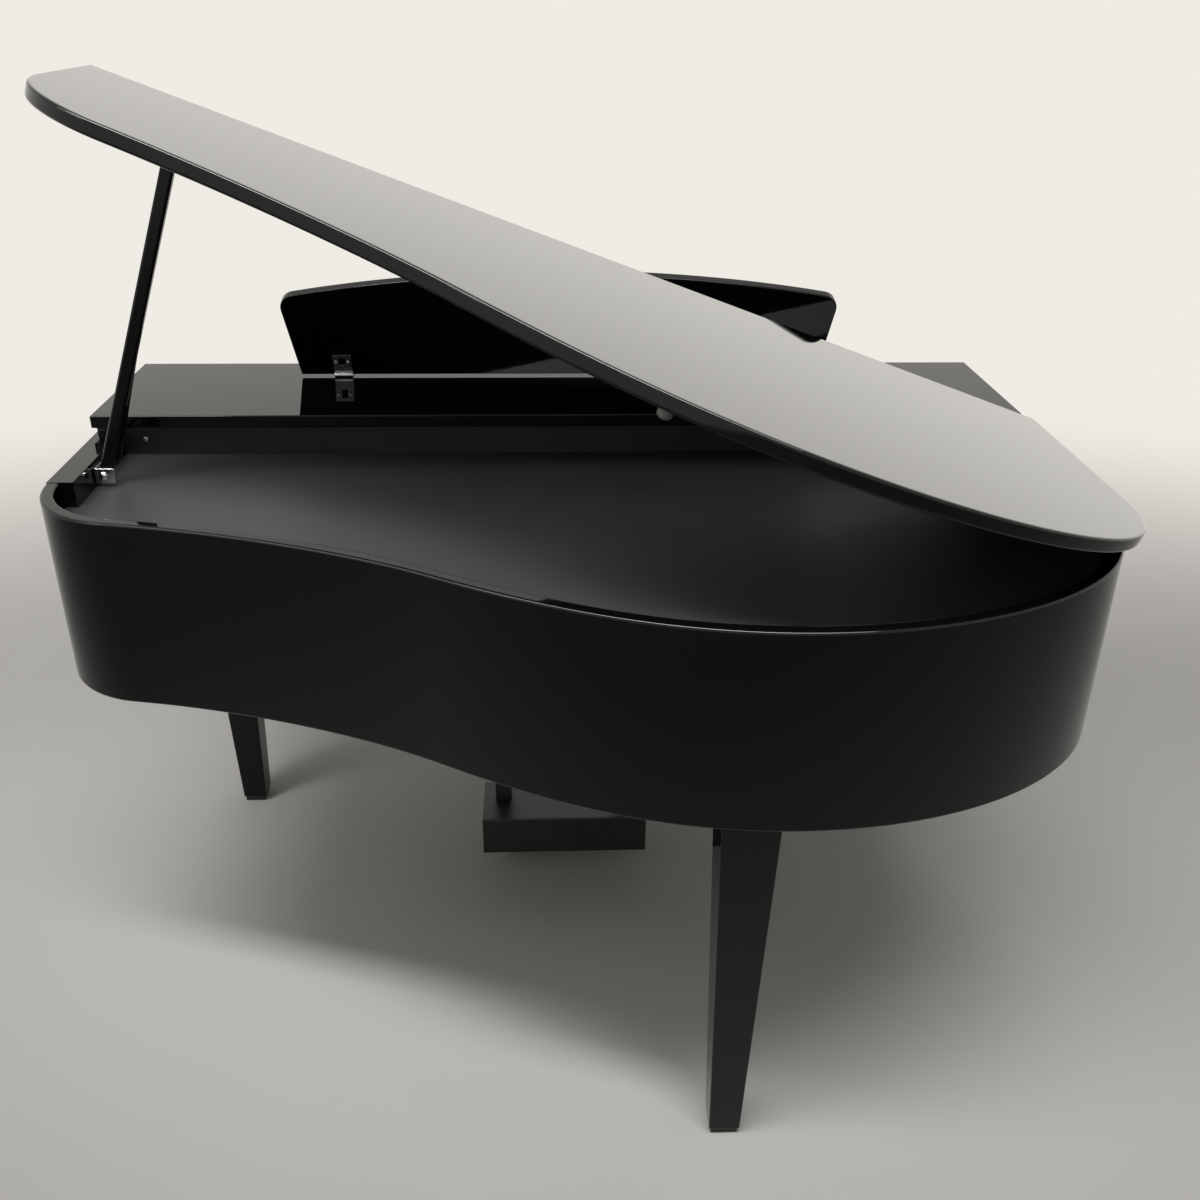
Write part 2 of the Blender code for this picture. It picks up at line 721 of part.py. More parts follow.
def make_prop_cup(frame):
    """Steel catch under the lid that the prop's tip stands in."""
    along, _ = prop_in_lid_frame()
    top = LID_SPACE / 2 - GAP
    lip = along + PROP_WIDTH / 2 + GAP
    profile = [
        (lip - CUP_LENGTH, top),
        (lip - CUP_LENGTH, top - BRACKET_THICK),
        (lip, top - BRACKET_THICK),
        (lip, top - CUP_LIP),
        (lip + BRACKET_THICK, top - CUP_LIP),
        (lip + BRACKET_THICK, top),
    ]
    low = PROP_Y - CUP_WIDTH / 2
    slab("prop_cup", [profile], low, low + CUP_WIDTH, "XZ", "brushed_steel", frame)


def make_prop():
    """Long prop on its bracket, and the short prop that nests beside its lower half."""
    frame = add_frame("prop_axis", (PROP_X, PROP_Y, PROP_Z), (0.0, -LID_OPEN, 0.0))
    _, below = prop_in_lid_frame()
    length = below + LID_SPACE / 2 - BRACKET_THICK - 2 * GAP
    half = PROP_WIDTH / 2
    outline = rounded([
        (half, -half, half * FULL_ROUND),
        (half, length, PROP_TIP_ROUND),
        (-half, length, PROP_TIP_ROUND),
        (-half, -half, half * FULL_ROUND),
    ])
    deep = PROP_THICK / 2
    prop = slab("prop_long", [outline], -deep, deep, "XZ", "satin_black", frame)
    bore = PIVOT_RADIUS + GAP
    hole = rod("prop_bore", bore, 2 * PROP_THICK, (0, 0, 0), "Y", frame=frame, sides=16)
    combine(prop, hole, "DIFFERENCE")
    peg_hole = (0, 0, SHORT_PROP_HEIGHT)
    second = rod("short_bore", bore, 2 * PROP_THICK, peg_hole, "Y", frame=frame, sides=16)
    combine(prop, second, "DIFFERENCE")

    splay = (0.0, SHORT_PROP_SPLAY, 0.0)
    short_frame = add_frame("short_prop_axis", peg_hole, splay)
    short_frame.parent = frame
    slim = SHORT_PROP_WIDTH / 2
    outline = rounded([
        (slim, slim, slim * FULL_ROUND),
        (-slim, slim, slim * FULL_ROUND),
        (-slim, -SHORT_PROP_LENGTH + SHORT_PROP_WIDTH, 0),
        (0, -SHORT_PROP_LENGTH, 0),
        (slim, -SHORT_PROP_LENGTH + SHORT_PROP_WIDTH, 0),
    ])
    front = -deep - GAP
    short = slab(
        "prop_short", [outline], front - SHORT_PROP_THICK, front, "XZ", "satin_black", short_frame
    )
    peg_length = PROP_THICK + SHORT_PROP_THICK / 2
    peg_centre = (0.0, deep - peg_length / 2, 0.0)
    peg = rod("short_peg", PIVOT_RADIUS, peg_length, peg_centre, "Y", frame=short_frame, sides=16)
    combine(short, peg, "UNION")

    flange = PROP_Y + deep + GAP
    plate = ARM_INNER - GAP
    flange_tip = plate - BRACKET_FLANGE
    profile = [
        (plate, flange + BRACKET_THICK),
        (flange_tip, flange + BRACKET_THICK),
        (flange_tip, flange),
        (plate - BRACKET_THICK, flange),
        (plate - BRACKET_THICK, flange - BRACKET_LENGTH),
        (plate, flange - BRACKET_LENGTH),
    ]
    low = PROP_Z - BRACKET_HEIGHT / 2
    bracket = slab("prop_bracket", [profile], low, low + BRACKET_HEIGHT, "XY", "chrome")
    hole_place = (PROP_X, flange, PROP_Z)
    bracket_hole = rod("bracket_bore", bore, 4 * BRACKET_THICK, hole_place, "Y", sides=16)
    combine(bracket, bracket_hole, "DIFFERENCE")

    head = PIVOT_HEAD_RADIUS
    shoulder = deep + BRACKET_THICK + 2 * GAP
    dome = [
        (head * math.sin(angle), shoulder + PIVOT_HEAD_HEIGHT * math.cos(angle))
        for angle in (math.radians(90 * step / 5) for step in range(6))
    ]
    stem = [(PIVOT_RADIUS, shoulder), (PIVOT_RADIUS, -deep), (0.0, -deep)]
    turned(
        "prop_pin",
        dome + stem,
        "chrome",
        (PROP_X, PROP_Y, PROP_Z),
        (-math.pi / 2, 0.0, 0.0),
        steps=16,
    )


def make_music_desk():
    """Leaning desk with a book ledge, on two steel hinges."""
    frame = add_frame("desk_axis", (0.0, DESK_AXIS_Y, DESK_AXIS_Z), (-DESK_LEAN, 0.0, 0.0))
    half = DESK_TOP_WIDTH / 2
    rise = DESK_MIDDLE_HEIGHT - DESK_SIDE_HEIGHT
    radius = (half**2 + rise**2) / (2 * rise)
    sweep = math.asin(half / radius)
    steps = 16
    centre = (0.0, DESK_MIDDLE_HEIGHT - radius)
    arch = arc(centre, radius, math.pi / 2 - sweep, math.pi / 2 + sweep, steps)[1:-1]
    corners = [(-DESK_BOTTOM_WIDTH / 2, -DESK_FOOT, 0), (DESK_BOTTOM_WIDTH / 2, -DESK_FOOT, 0)]
    corners.append((half, DESK_SIDE_HEIGHT, DESK_CORNER_ROUND))
    corners += [(x, z, 0) for x, z in arch]
    corners.append((-half, DESK_SIDE_HEIGHT, DESK_CORNER_ROUND))
    front = DESK_BACK - DESK_THICK
    desk = slab("music_desk", [rounded(corners)], front, DESK_BACK, "XZ", "black_polyester", frame)
    round_edges(desk, EDGE_ROUND)
    ledge = box(
        "music_ledge",
        (-LEDGE_WIDTH / 2, front - GAP - LEDGE_DEPTH, DESK_FOOT),
        (LEDGE_WIDTH / 2, front - GAP, DESK_FOOT + LEDGE_THICK),
        "black_polyester",
        frame,
    )
    round_edges(ledge, EDGE_ROUND)
    for side, x in (("bass", -DESK_HINGE_X), ("treble", DESK_HINGE_X)):
        make_desk_hinge(side, x, frame)


def make_desk_hinge(side, x, frame):
    """One hinge: a leaf under the desk's foot with the pin, and a windowed leaf on the desk's back."""
    radius = DESK_KNUCKLE_RADIUS
    start = x - DESK_HINGE_LENGTH / 2
    end = x + DESK_HINGE_LENGTH / 2
    fixed_frame = add_frame("desk_hinge_" + side, (0.0, DESK_AXIS_Y, DESK_AXIS_Z))
    forward = [(-across, along) for across, along in hinge_profile(radius, LEAF_THICK, BASE_LEAF_REACH)]
    base = slab("desk_hinge_base_" + side, [forward], start, end, "YZ", "brushed_steel", fixed_frame)
    upright = [(along, across) for across, along in hinge_profile(radius, LEAF_THICK, DESK_LEAF_REACH)]
    leaf = slab("desk_hinge_leaf_" + side, [upright], start, end, "YZ", "brushed_steel", frame)
    beyond = 2 * radius
    past = radius + GAP
    for low, high in knuckle_bays(start, DESK_HINGE_LENGTH, DESK_KNUCKLES, 0):
        bay = box(base.name + "_bay", (low, -past, -beyond), (high, beyond, beyond), frame=fixed_frame)
        combine(base, bay, "DIFFERENCE")
    for low, high in knuckle_bays(start, DESK_HINGE_LENGTH, DESK_KNUCKLES, 1):
        bay = box(leaf.name + "_bay", (low, -beyond, -beyond), (high, beyond, past), frame=frame)
        combine(leaf, bay, "DIFFERENCE")
    pin_length = DESK_HINGE_LENGTH - GAP
    pin = rod("pin_" + side, DESK_PIN_RADIUS, pin_length, (x, 0, 0), "X", frame=fixed_frame, sides=10)
    combine(base, pin, "UNION")
    clear = DESK_PIN_RADIUS + GAP
    bore = rod("bore_" + side, clear, DESK_HINGE_LENGTH * 2, (x, 0, 0), "X", frame=frame, sides=10)
    combine(leaf, bore, "DIFFERENCE")
    wide, tall = LEAF_WINDOW
    window = box(
        leaf.name + "_window",
        (x - wide / 2, -beyond, LEAF_WINDOW_HEIGHT - tall / 2),
        (x + wide / 2, beyond, LEAF_WINDOW_HEIGHT + tall / 2),
        frame=frame,
    )
    combine(leaf, window, "DIFFERENCE")


def black_after(white):
    """Middle of the black key to the right of a white key, or None; key 0 is the lowest A."""
    note = "ABCDEFG"[white % 7]
    if note not in BLACK_SHIFT or not 0 <= white < WHITE_COUNT - 1:
        return None
    return (white + 1) * WHITE_PITCH - KEYS_HALF + BLACK_SHIFT[note]


def key_groups():
    """White key numbers of each octave, the odd keys at the ends joined to their neighbours."""
    starts = list(range(2, WHITE_COUNT - 1, 7))
    starts[0] = 0
    ends = starts[1:] + [WHITE_COUNT]
    return [range(start, end) for start, end in zip(starts, ends)]


def white_outline(group):
    """One octave of white keys seen from above, joined by a bar behind the pivot line."""
    outline = []
    head_back = KEY_FRONT + WHITE_HEAD
    for white in group:
        left = white * WHITE_PITCH - KEYS_HALF + WHITE_GAP / 2
        right = left + WHITE_PITCH - WHITE_GAP
        below = black_after(white - 1)
        above = black_after(white)
        tail_left = left if below is None else below + BLACK_SLOT / 2
        tail_right = right if above is None else above - BLACK_SLOT / 2
        key = [(tail_left, WHITE_BAR_FRONT)]
        if below is not None:
            key += [(tail_left, head_back), (left, head_back)]
        key += [(left, KEY_FRONT), (right, KEY_FRONT)]
        if above is not None:
            key += [(right, head_back), (tail_right, head_back)]
        key.append((tail_right, WHITE_BAR_FRONT))
        outline += key
    first = outline[0][0]
    last = outline[-1][0]
    return outline[1:-1] + [(last, WHITE_BAR_BACK), (first, WHITE_BAR_BACK)]


def black_outline(group):
    """One octave of black keys seen from above, joined by a bar behind the white keys' bar."""
    outline = []
    for white in group:
        middle = black_after(white)
        if middle is None:
            continue
        left = middle - BLACK_WIDTH / 2
        right = middle + BLACK_WIDTH / 2
        outline += [(left, BLACK_BAR_FRONT), (left, BLACK_FRONT), (right, BLACK_FRONT)]
        outline.append((right, BLACK_BAR_FRONT))
    first = outline[0][0]
    last = outline[-1][0]
    return outline[1:-1] + [(last, BLACK_BAR_BACK), (first, BLACK_BAR_BACK)]


def make_keyboard():
    """Key chassis, and 88 keys moulded as one white and one black comb for each octave."""
    floor = BOTTOM_TOP + GAP
    sheet = floor + CHASSIS_THICK
    stop = WHITE_BOTTOM - KEY_DIP - GAP
    white_rail = (WHITE_AXIS_Y - PIVOT_RAIL_THICK / 2, WHITE_AXIS_Y + PIVOT_RAIL_THICK / 2)
    black_rail = (BLACK_AXIS_Y - PIVOT_RAIL_THICK / 2, BLACK_AXIS_Y + PIVOT_RAIL_THICK / 2)
    profile = [
        (KEY_FRONT, floor),
        (black_rail[1], floor),
        (black_rail[1], BLACK_BOTTOM - GAP),
        (black_rail[0], BLACK_BOTTOM - GAP),
        (black_rail[0], sheet),
        (white_rail[1], sheet),
        (white_rail[1], WHITE_BOTTOM - GAP),
        (white_rail[0], WHITE_BOTTOM - GAP),
        (white_rail[0], sheet),
        (KEY_FRONT + CHASSIS_WALL, sheet),
        (KEY_FRONT + CHASSIS_WALL, stop),
        (KEY_FRONT, stop),
    ]
    slab("key_chassis", [profile], -KEYS_HALF, KEYS_HALF, "YZ", "black_plastic")

    for octave, group in enumerate(key_groups(), start=1):
        left = group[0] * WHITE_PITCH - KEYS_HALF
        right = left + len(group) * WHITE_PITCH
        middle = (left + right) / 2
        frame = add_frame("white_keys_axis_%d" % octave, (middle, WHITE_AXIS_Y, WHITE_BOTTOM))
        outline = [(x - middle, y - WHITE_AXIS_Y) for x, y in white_outline(group)]
        name = "white_keys_octave_%d" % octave
        keys = slab(name, [outline], 0.0, KEY_THICK, "XY", "white_key", frame)
        reach = (right - left) / 2
        relief = box(
            name + "_relief",
            (-reach, -WHITE_BAR_DEPTH / 2 - BAR_CLEARANCE, WHITE_BAR_THICK),
            (reach, WHITE_BAR_DEPTH, 2 * KEY_THICK),
            frame=frame,
        )
        combine(keys, relief, "DIFFERENCE")

        frame = add_frame("black_keys_axis_%d" % octave, (middle, BLACK_AXIS_Y, BLACK_BOTTOM))
        outline = [(x - middle, y - BLACK_AXIS_Y) for x, y in black_outline(group)]
        name = "black_keys_octave_%d" % octave
        top = BLACK_TOP - BLACK_BOTTOM
        keys = slab(name, [outline], 0.0, top, "XY", "black_key", frame)
        relief = box(
            name + "_relief",
            (-reach, BLACK_FRONT + BLACK_LENGTH - BLACK_AXIS_Y, BLACK_TAIL_THICK),
            (reach, BLACK_BAR_DEPTH, 2 * top),
            frame=frame,
        )
        combine(keys, relief, "DIFFERENCE")


def make_controls():
    """Small panel on the bass cheek with a volume knob and a power button."""
    x = -(CHEEK_INNER + ARM_INNER) / 2
    front = SLIP_BACK + CONTROL_FROM_SLIP
    low = CHEEK_TOP + GAP
    top = low + CONTROL_THICK
    back = front + CONTROL_LENGTH
    button_y = front + BUTTON_FROM_END
    knob_y = back - KNOB_FROM_END
    left = x - CONTROL_WIDTH / 2
    right = x + CONTROL_WIDTH / 2
    outline = rounded([
        (left, front, CONTROL_CORNER),
        (right, front, CONTROL_CORNER),
        (right, back, CONTROL_CORNER),
        (left, back, CONTROL_CORNER),
    ])
    hole = arc((x, button_y), BUTTON_RADIUS + GAP, 0, 2 * math.pi, 20)[:-1]
    slab("control_panel", [outline, hole], low, top, "XY", "black_plastic")
    knob_frame = add_frame("volume_axis", (x, knob_y, top + GAP))
    turned(
        "volume_knob",
        [
            (0.0, KNOB_HEIGHT),
            (KNOB_RADIUS - KNOB_CHAMFER, KNOB_HEIGHT),
            (KNOB_RADIUS, KNOB_HEIGHT - KNOB_CHAMFER),
            (KNOB_RADIUS, 0.0),
            (0.0, 0.0),
        ],
        "black_plastic",
        (0.0, 0.0, 0.0),
        frame=knob_frame,
    )
    button_frame = add_frame("power_button_slide", (x, button_y, low + BUTTON_TRAVEL + GAP))
    turned(
        "power_button",
        [(0.0, BUTTON_HEIGHT), (BUTTON_RADIUS, BUTTON_HEIGHT), (BUTTON_RADIUS, 0.0), (0.0, 0.0)],
        "black_plastic",
        (0.0, 0.0, 0.0),
        frame=button_frame,
        steps=20,
    )


def make_legs():
    """Square tapered legs screwed under the case, each on a rubber foot."""
    front_y = FRONT + FRONT_LEG_SETBACK
    places = {
        "bass": (-HALF + FRONT_LEG_INSET, front_y),
        "treble": (HALF - FRONT_LEG_INSET, front_y),
        "tail": (TAIL_LEG_X, TAIL - TAIL_LEG_FROM_TAIL),
    }
    low = FOOT_HEIGHT + GAP
    high = CASE_BOTTOM - GAP
    for side, (x, y) in places.items():
        shape = bmesh.new()
        bmesh.ops.create_cone(
            shape,
            cap_ends=True,
            segments=4,
            radius1=LEG_END_WIDTH / math.sqrt(2),
            radius2=LEG_TOP_WIDTH / math.sqrt(2),
            depth=high - low,
        )
        mesh = bpy.data.meshes.new("leg_" + side)
        shape.to_mesh(mesh)
        shape.free()
        turn = (0.0, 0.0, math.pi / 4)
        leg = add_piece("leg_" + side, mesh, "black_polyester", None, (x, y, (low + high) / 2), turn)
        round_edges(leg, EDGE_ROUND)
        half = FOOT_WIDTH / 2
        box("foot_" + side, (x - half, y - half, 0.0), (x + half, y + half, FOOT_HEIGHT), "black_rubber")


def make_pedals():
    """Pedal box hung on two posts, with three pedals pivoting in slots."""
    half = PEDAL_BOX_WIDTH / 2
    pedal_box = box(
        "pedal_box", (-half, BOX_FRONT, PEDAL_BOX_FLOOR_GAP), (half, BOX_BACK, BOX_TOP), "satin_black"
    )
    round_edges(pedal_box, EDGE_ROUND)
    post_back = BOX_BACK - POST_FROM_BOX_BACK
    for side, x in (("bass", -POST_SPACING / 2), ("treble", POST_SPACING / 2)):
        post = box(
            "pedal_post_" + side,
            (x - POST_WIDTH / 2, post_back - POST_WIDTH, BOX_TOP + GAP),
            (x + POST_WIDTH / 2, post_back, CASE_BOTTOM - GAP),
            "satin_black",
        )
        round_edges(post, EDGE_ROUND)

    drop = PEDAL_PIVOT_DEPTH * math.tan(PEDAL_SWING) + PEDAL_SLOT_MARGIN
    hub = PEDAL_HUB_RADIUS
    slot_low = -max(PEDAL_THICK / 2 + drop, hub + GAP)
    slot_high = max(PEDAL_THICK / 2 + PEDAL_SLOT_MARGIN, hub + GAP)
    reach = PEDAL_PIVOT_DEPTH + PEDAL_REACH
    stem = PEDAL_STEM / 2
    tip = PEDAL_TIP_WIDTH / 2
    widen = PEDAL_PIVOT_DEPTH + PEDAL_REACH / 4
    full = PEDAL_PIVOT_DEPTH + PEDAL_REACH / 2
    outline = rounded([
        (-stem, 0.0, 0),
        (-stem, -widen, 0),
        (-tip, -full, 0),
        (-tip, -reach, tip * FULL_ROUND),
        (tip, -reach, tip * FULL_ROUND),
        (tip, -full, 0),
        (stem, -widen, 0),
        (stem, 0.0, 0),
    ])
    for name, x in zip(("soft", "sostenuto", "damper"), (-PEDAL_SPACING, 0.0, PEDAL_SPACING)):
        frame = add_frame("pedal_axis_" + name, (x, PEDAL_AXIS_Y, PEDAL_AXIS_Z))
        slot = box(
            "pedal_slot_" + name,
            (-PEDAL_SLOT_WIDTH / 2, -2 * PEDAL_PIVOT_DEPTH, slot_low),
            (PEDAL_SLOT_WIDTH / 2, hub + GAP, slot_high),
            frame=frame,
        )
        combine(pedal_box, slot, "DIFFERENCE")
        thick = PEDAL_THICK / 2
        pedal = slab("pedal_" + name, [outline], -thick, thick, "XY", "brass", frame)
        barrel = rod("hub_" + name, hub, PEDAL_SLOT_WIDTH - 2 * GAP, (0, 0, 0), "X", frame=frame)
        combine(pedal, barrel, "UNION")


def make_speakers_and_inlet():
    """Two loudspeakers facing down over holes in the bottom board, and the power inlet."""
    profile = [
        (0.0, SPEAKER_HEIGHT),
        (MAGNET_RADIUS, SPEAKER_HEIGHT),
        (MAGNET_RADIUS, SPEAKER_HEIGHT - MAGNET_THICK),
        (BASKET_NECK_RADIUS, BASKET_HEIGHT),
        (BASKET_RADIUS, SPEAKER_FLANGE_THICK),
        (SPEAKER_RADIUS, SPEAKER_FLANGE_THICK),
        (SPEAKER_RADIUS, 0.0),
        (SPEAKER_HOLE_RADIUS, 0.0),
        (CONE_RADIUS, CONE_SETBACK),
        (DUST_CAP_RADIUS, DUST_CAP_RIM),
        (0.0, DUST_CAP_TOP),
    ]
    y = PANEL_BACK + SPEAKER_FROM_PANEL
    for side, x in (("bass", -SPEAKER_X), ("treble", SPEAKER_X)):
        turned("speaker_" + side, profile, "speaker_black", (x, y, BOTTOM_TOP + GAP))

    wide, deep, tall = (size / 2 for size in INLET_SIZE)
    place = (INLET_X, PANEL_BACK + INLET_FROM_PANEL, CASE_BOTTOM - GAP - tall)
    frame = add_frame("inlet_place", place)
    inlet = box("power_inlet", (-wide, -deep, -tall), (wide, deep, tall), "black_plastic", frame)
    recess_wide, recess_deep, recess_tall = INLET_RECESS
    recess = box(
        "inlet_recess",
        (-recess_wide / 2, deep - recess_deep, -recess_tall / 2),
        (recess_wide / 2, 2 * deep, recess_tall / 2),
        frame=frame,
    )
    combine(inlet, recess, "DIFFERENCE")


clear_scene()
PARTS = new_collection("digital_grand_piano")
CUTTERS = new_collection("cutters")
make_materials()
make_case()
make_key_cover()
make_lid()
make_prop()
make_music_desk()
make_keyboard()
make_controls()
make_legs()
make_pedals()
make_speakers_and_inlet()
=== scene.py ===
import json
import math

import bmesh
import bpy
from mathutils import Matrix, Vector


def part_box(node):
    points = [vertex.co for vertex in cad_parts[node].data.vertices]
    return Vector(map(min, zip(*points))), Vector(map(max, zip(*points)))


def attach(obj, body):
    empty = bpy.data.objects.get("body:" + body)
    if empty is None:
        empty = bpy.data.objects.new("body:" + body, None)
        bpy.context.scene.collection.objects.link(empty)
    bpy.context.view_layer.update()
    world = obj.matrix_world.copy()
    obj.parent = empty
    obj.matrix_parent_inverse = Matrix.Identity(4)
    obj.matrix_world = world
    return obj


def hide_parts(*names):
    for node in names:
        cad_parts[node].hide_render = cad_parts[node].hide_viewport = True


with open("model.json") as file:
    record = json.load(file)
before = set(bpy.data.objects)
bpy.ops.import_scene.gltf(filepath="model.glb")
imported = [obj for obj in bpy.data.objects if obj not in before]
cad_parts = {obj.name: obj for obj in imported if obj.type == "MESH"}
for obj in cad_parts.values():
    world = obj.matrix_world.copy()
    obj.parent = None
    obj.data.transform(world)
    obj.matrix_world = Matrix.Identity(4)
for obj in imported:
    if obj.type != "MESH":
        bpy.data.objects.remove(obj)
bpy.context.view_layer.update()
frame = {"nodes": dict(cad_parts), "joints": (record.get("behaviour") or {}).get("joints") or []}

bpy.context.scene.view_settings.view_transform = "Standard"

# The camera stands behind the tail, above the case, and looks down over the curved side to the music
# desk. Its place, heading and lens come from the straight edges of the case in the photograph.
CAMERA_PLACE = (0.0239, 1.6497, 1.4680)
CAMERA_YAW = math.radians(-2.754)
CAMERA_PITCH = math.radians(27.234)
CAMERA_ROLL = math.radians(0.668)
CAMERA_LENS = 35.65
CAMERA_REACH = 400.0

camera = bpy.data.objects.new("camera", bpy.data.cameras.new("camera"))
camera.data.lens = CAMERA_LENS
camera.data.clip_end = CAMERA_REACH
camera.matrix_world = (
    Matrix.Translation(CAMERA_PLACE)
    @ Matrix.Rotation(math.pi + CAMERA_YAW, 4, "Z")
    @ Matrix.Rotation(math.pi / 2 - CAMERA_PITCH, 4, "X")
    @ Matrix.Rotation(CAMERA_ROLL, 4, "Z")
)
bpy.context.scene.collection.objects.link(camera)
bpy.context.scene.camera = camera

# A plain pale studio: one wide light grey floor that turns into the pale world between the two distances of
# FLOOR_FADE from FLOOR_MIDDLE, a long soft box overhead and a square one beside the open lid.
FLOOR_HALF = 150.0
FLOOR_COLOUR = (0.38, 0.372, 0.36)
FLOOR_MIDDLE = (0.0, 2.6, 0.0)
FLOOR_FADE = (3.4, 5.8)
WORLD_COLOUR = (0.86, 0.835, 0.78)
WORLD_SEEN = 1.0
WORLD_LIGHT = 0.46


def new_material(name, colour, roughness, metallic=0.0):
    """A material whose shader starts from one colour, one roughness and one metallic value."""
    made = bpy.data.materials.new(name)
    made.use_nodes = True
    shader = made.node_tree.nodes["Principled BSDF"]
    shader.inputs["Base Color"].default_value = (*colour, 1.0)
    shader.inputs["Roughness"].default_value = roughness
    shader.inputs["Metallic"].default_value = metallic
    return made


def pattern(made, scale, detail=3.0, stretch=(1.0, 1.0, 1.0)):
    """A noise in the instrument's own metres; scale is how many blotches fit in a metre."""
    tree = made.node_tree
    place = tree.nodes.new("ShaderNodeTexCoord")
    sizes = tree.nodes.new("ShaderNodeMapping")
    sizes.inputs["Scale"].default_value = stretch
    noise = tree.nodes.new("ShaderNodeTexNoise")
    noise.inputs["Scale"].default_value = scale
    noise.inputs["Detail"].default_value = detail
    tree.links.new(place.outputs["Object"], sizes.inputs["Vector"])
    tree.links.new(sizes.outputs["Vector"], noise.inputs["Vector"])
    return noise.outputs["Fac"]


def spread(made, source, low, high, start=0.3, end=0.7):
    """A pattern's values from start to end, turned into numbers from low to high."""
    tree = made.node_tree
    spreader = tree.nodes.new("ShaderNodeMapRange")
    spreader.inputs["From Min"].default_value = start
    spreader.inputs["From Max"].default_value = end
    spreader.inputs["To Min"].default_value = low
    spreader.inputs["To Max"].default_value = high
    tree.links.new(source, spreader.inputs["Value"])
    return spreader.outputs["Result"]


def two_tones(made, source, first, second):
    """A colour that goes from the first tone to the second with the pattern."""
    tree = made.node_tree
    mixer = tree.nodes.new("ShaderNodeMix")
    mixer.data_type = "RGBA"
    mixer.inputs["A"].default_value = (*first, 1.0)
    mixer.inputs["B"].default_value = (*second, 1.0)
    tree.links.new(source, mixer.inputs["Factor"])
    return mixer.outputs["Result"]


def drive(made, socket, source):
    made.node_tree.links.new(source, made.node_tree.nodes["Principled BSDF"].inputs[socket])


def relief(made, source, height):
    """Small surface relief, its height in metres, from a pattern."""
    tree = made.node_tree
    bump = tree.nodes.new("ShaderNodeBump")
    bump.inputs["Distance"].default_value = height
    tree.links.new(source, bump.inputs["Height"])
    tree.links.new(bump.outputs["Normal"], tree.nodes["Principled BSDF"].inputs["Normal"])


def seen_rays(tree):
    """One where the camera looks straight at a surface, or in a mirror or through glass, and else zero."""
    rays = tree.nodes.new("ShaderNodeLightPath")
    seen = rays.outputs["Is Camera Ray"]
    for other in ("Is Glossy Ray", "Is Transmission Ray"):
        either = tree.nodes.new("ShaderNodeMath")
        either.operation = "MAXIMUM"
        tree.links.new(seen, either.inputs[0])
        tree.links.new(rays.outputs[other], either.inputs[1])
        seen = either.outputs["Value"]
    return seen


floor_paint = new_material("floor_paint", FLOOR_COLOUR, 0.9)
drive(floor_paint, "Roughness", spread(floor_paint, pattern(floor_paint, 3.0), 0.85, 0.95))
paint_tree = floor_paint.node_tree
floor_place = paint_tree.nodes.new("ShaderNodeTexCoord")
floor_reach = paint_tree.nodes.new("ShaderNodeVectorMath")
floor_reach.operation = "DISTANCE"
floor_reach.inputs[1].default_value = FLOOR_MIDDLE
paint_tree.links.new(floor_place.outputs["Object"], floor_reach.inputs[0])
fade = paint_tree.nodes.new("ShaderNodeMapRange")
fade.interpolation_type = "SMOOTHSTEP"
fade.inputs["From Min"].default_value, fade.inputs["From Max"].default_value = FLOOR_FADE
paint_tree.links.new(floor_reach.outputs["Value"], fade.inputs["Value"])
paint_tree.links.new(seen_rays(paint_tree), fade.inputs["To Max"])
backdrop = paint_tree.nodes.new("ShaderNodeEmission")
backdrop.inputs["Color"].default_value = (*WORLD_COLOUR, 1.0)
backdrop.inputs["Strength"].default_value = WORLD_SEEN
into_backdrop = paint_tree.nodes.new("ShaderNodeMixShader")
paint_tree.links.new(fade.outputs["Result"], into_backdrop.inputs["Fac"])
paint_tree.links.new(paint_tree.nodes["Principled BSDF"].outputs["BSDF"], into_backdrop.inputs[1])
paint_tree.links.new(backdrop.outputs["Emission"], into_backdrop.inputs[2])
paint_tree.links.new(into_backdrop.outputs["Shader"], paint_tree.nodes["Material Output"].inputs["Surface"])

floor_shape = bmesh.new()
bmesh.ops.create_grid(floor_shape, x_segments=1, y_segments=1, size=FLOOR_HALF)
floor_mesh = bpy.data.meshes.new("floor")
floor_shape.to_mesh(floor_mesh)
floor_shape.free()
floor_mesh.materials.append(floor_paint)
floor = bpy.data.objects.new("floor", floor_mesh)
bpy.context.scene.collection.objects.link(floor)

world = bpy.data.worlds.new("studio")
world.use_nodes = True
bpy.context.scene.world = world
sky = world.node_tree.nodes["Background"]
sky.inputs["Color"].default_value = (*WORLD_COLOUR, 1.0)
level = world.node_tree.nodes.new("ShaderNodeMapRange")
level.inputs["To Min"].default_value = WORLD_LIGHT
level.inputs["To Max"].default_value = WORLD_SEEN
world.node_tree.links.new(seen_rays(world.node_tree), level.inputs["Value"])
world.node_tree.links.new(level.outputs["Result"], sky.inputs["Strength"])

# name, place, the point it faces, side lengths in metres, degrees that its grid lets through, watts
LAMPS = (
    ("overhead_box", (0.3, 1.0, 2.9), (0.0, 0.0, 0.7), (3.2, 0.3), 80.0, 28.0),
    ("side_box", (2.6, 1.2, 3.0), (0.2, 0.0, 0.5), (1.4, 1.4), 140.0, 11.0),
)
for name, place, target, (wide, tall), grid, watts in LAMPS:
    light = bpy.data.lights.new(name, "AREA")
    light.shape = "RECTANGLE"
    light.size = wide
    light.size_y = tall
    light.spread = math.radians(grid)
    light.energy = watts
    lamp = bpy.data.objects.new(name, light)
    lamp.location = place
    lamp.rotation_euler = (Vector(target) - Vector(place)).to_track_quat("-Z", "Y").to_euler()
    bpy.context.scene.collection.objects.link(lamp)

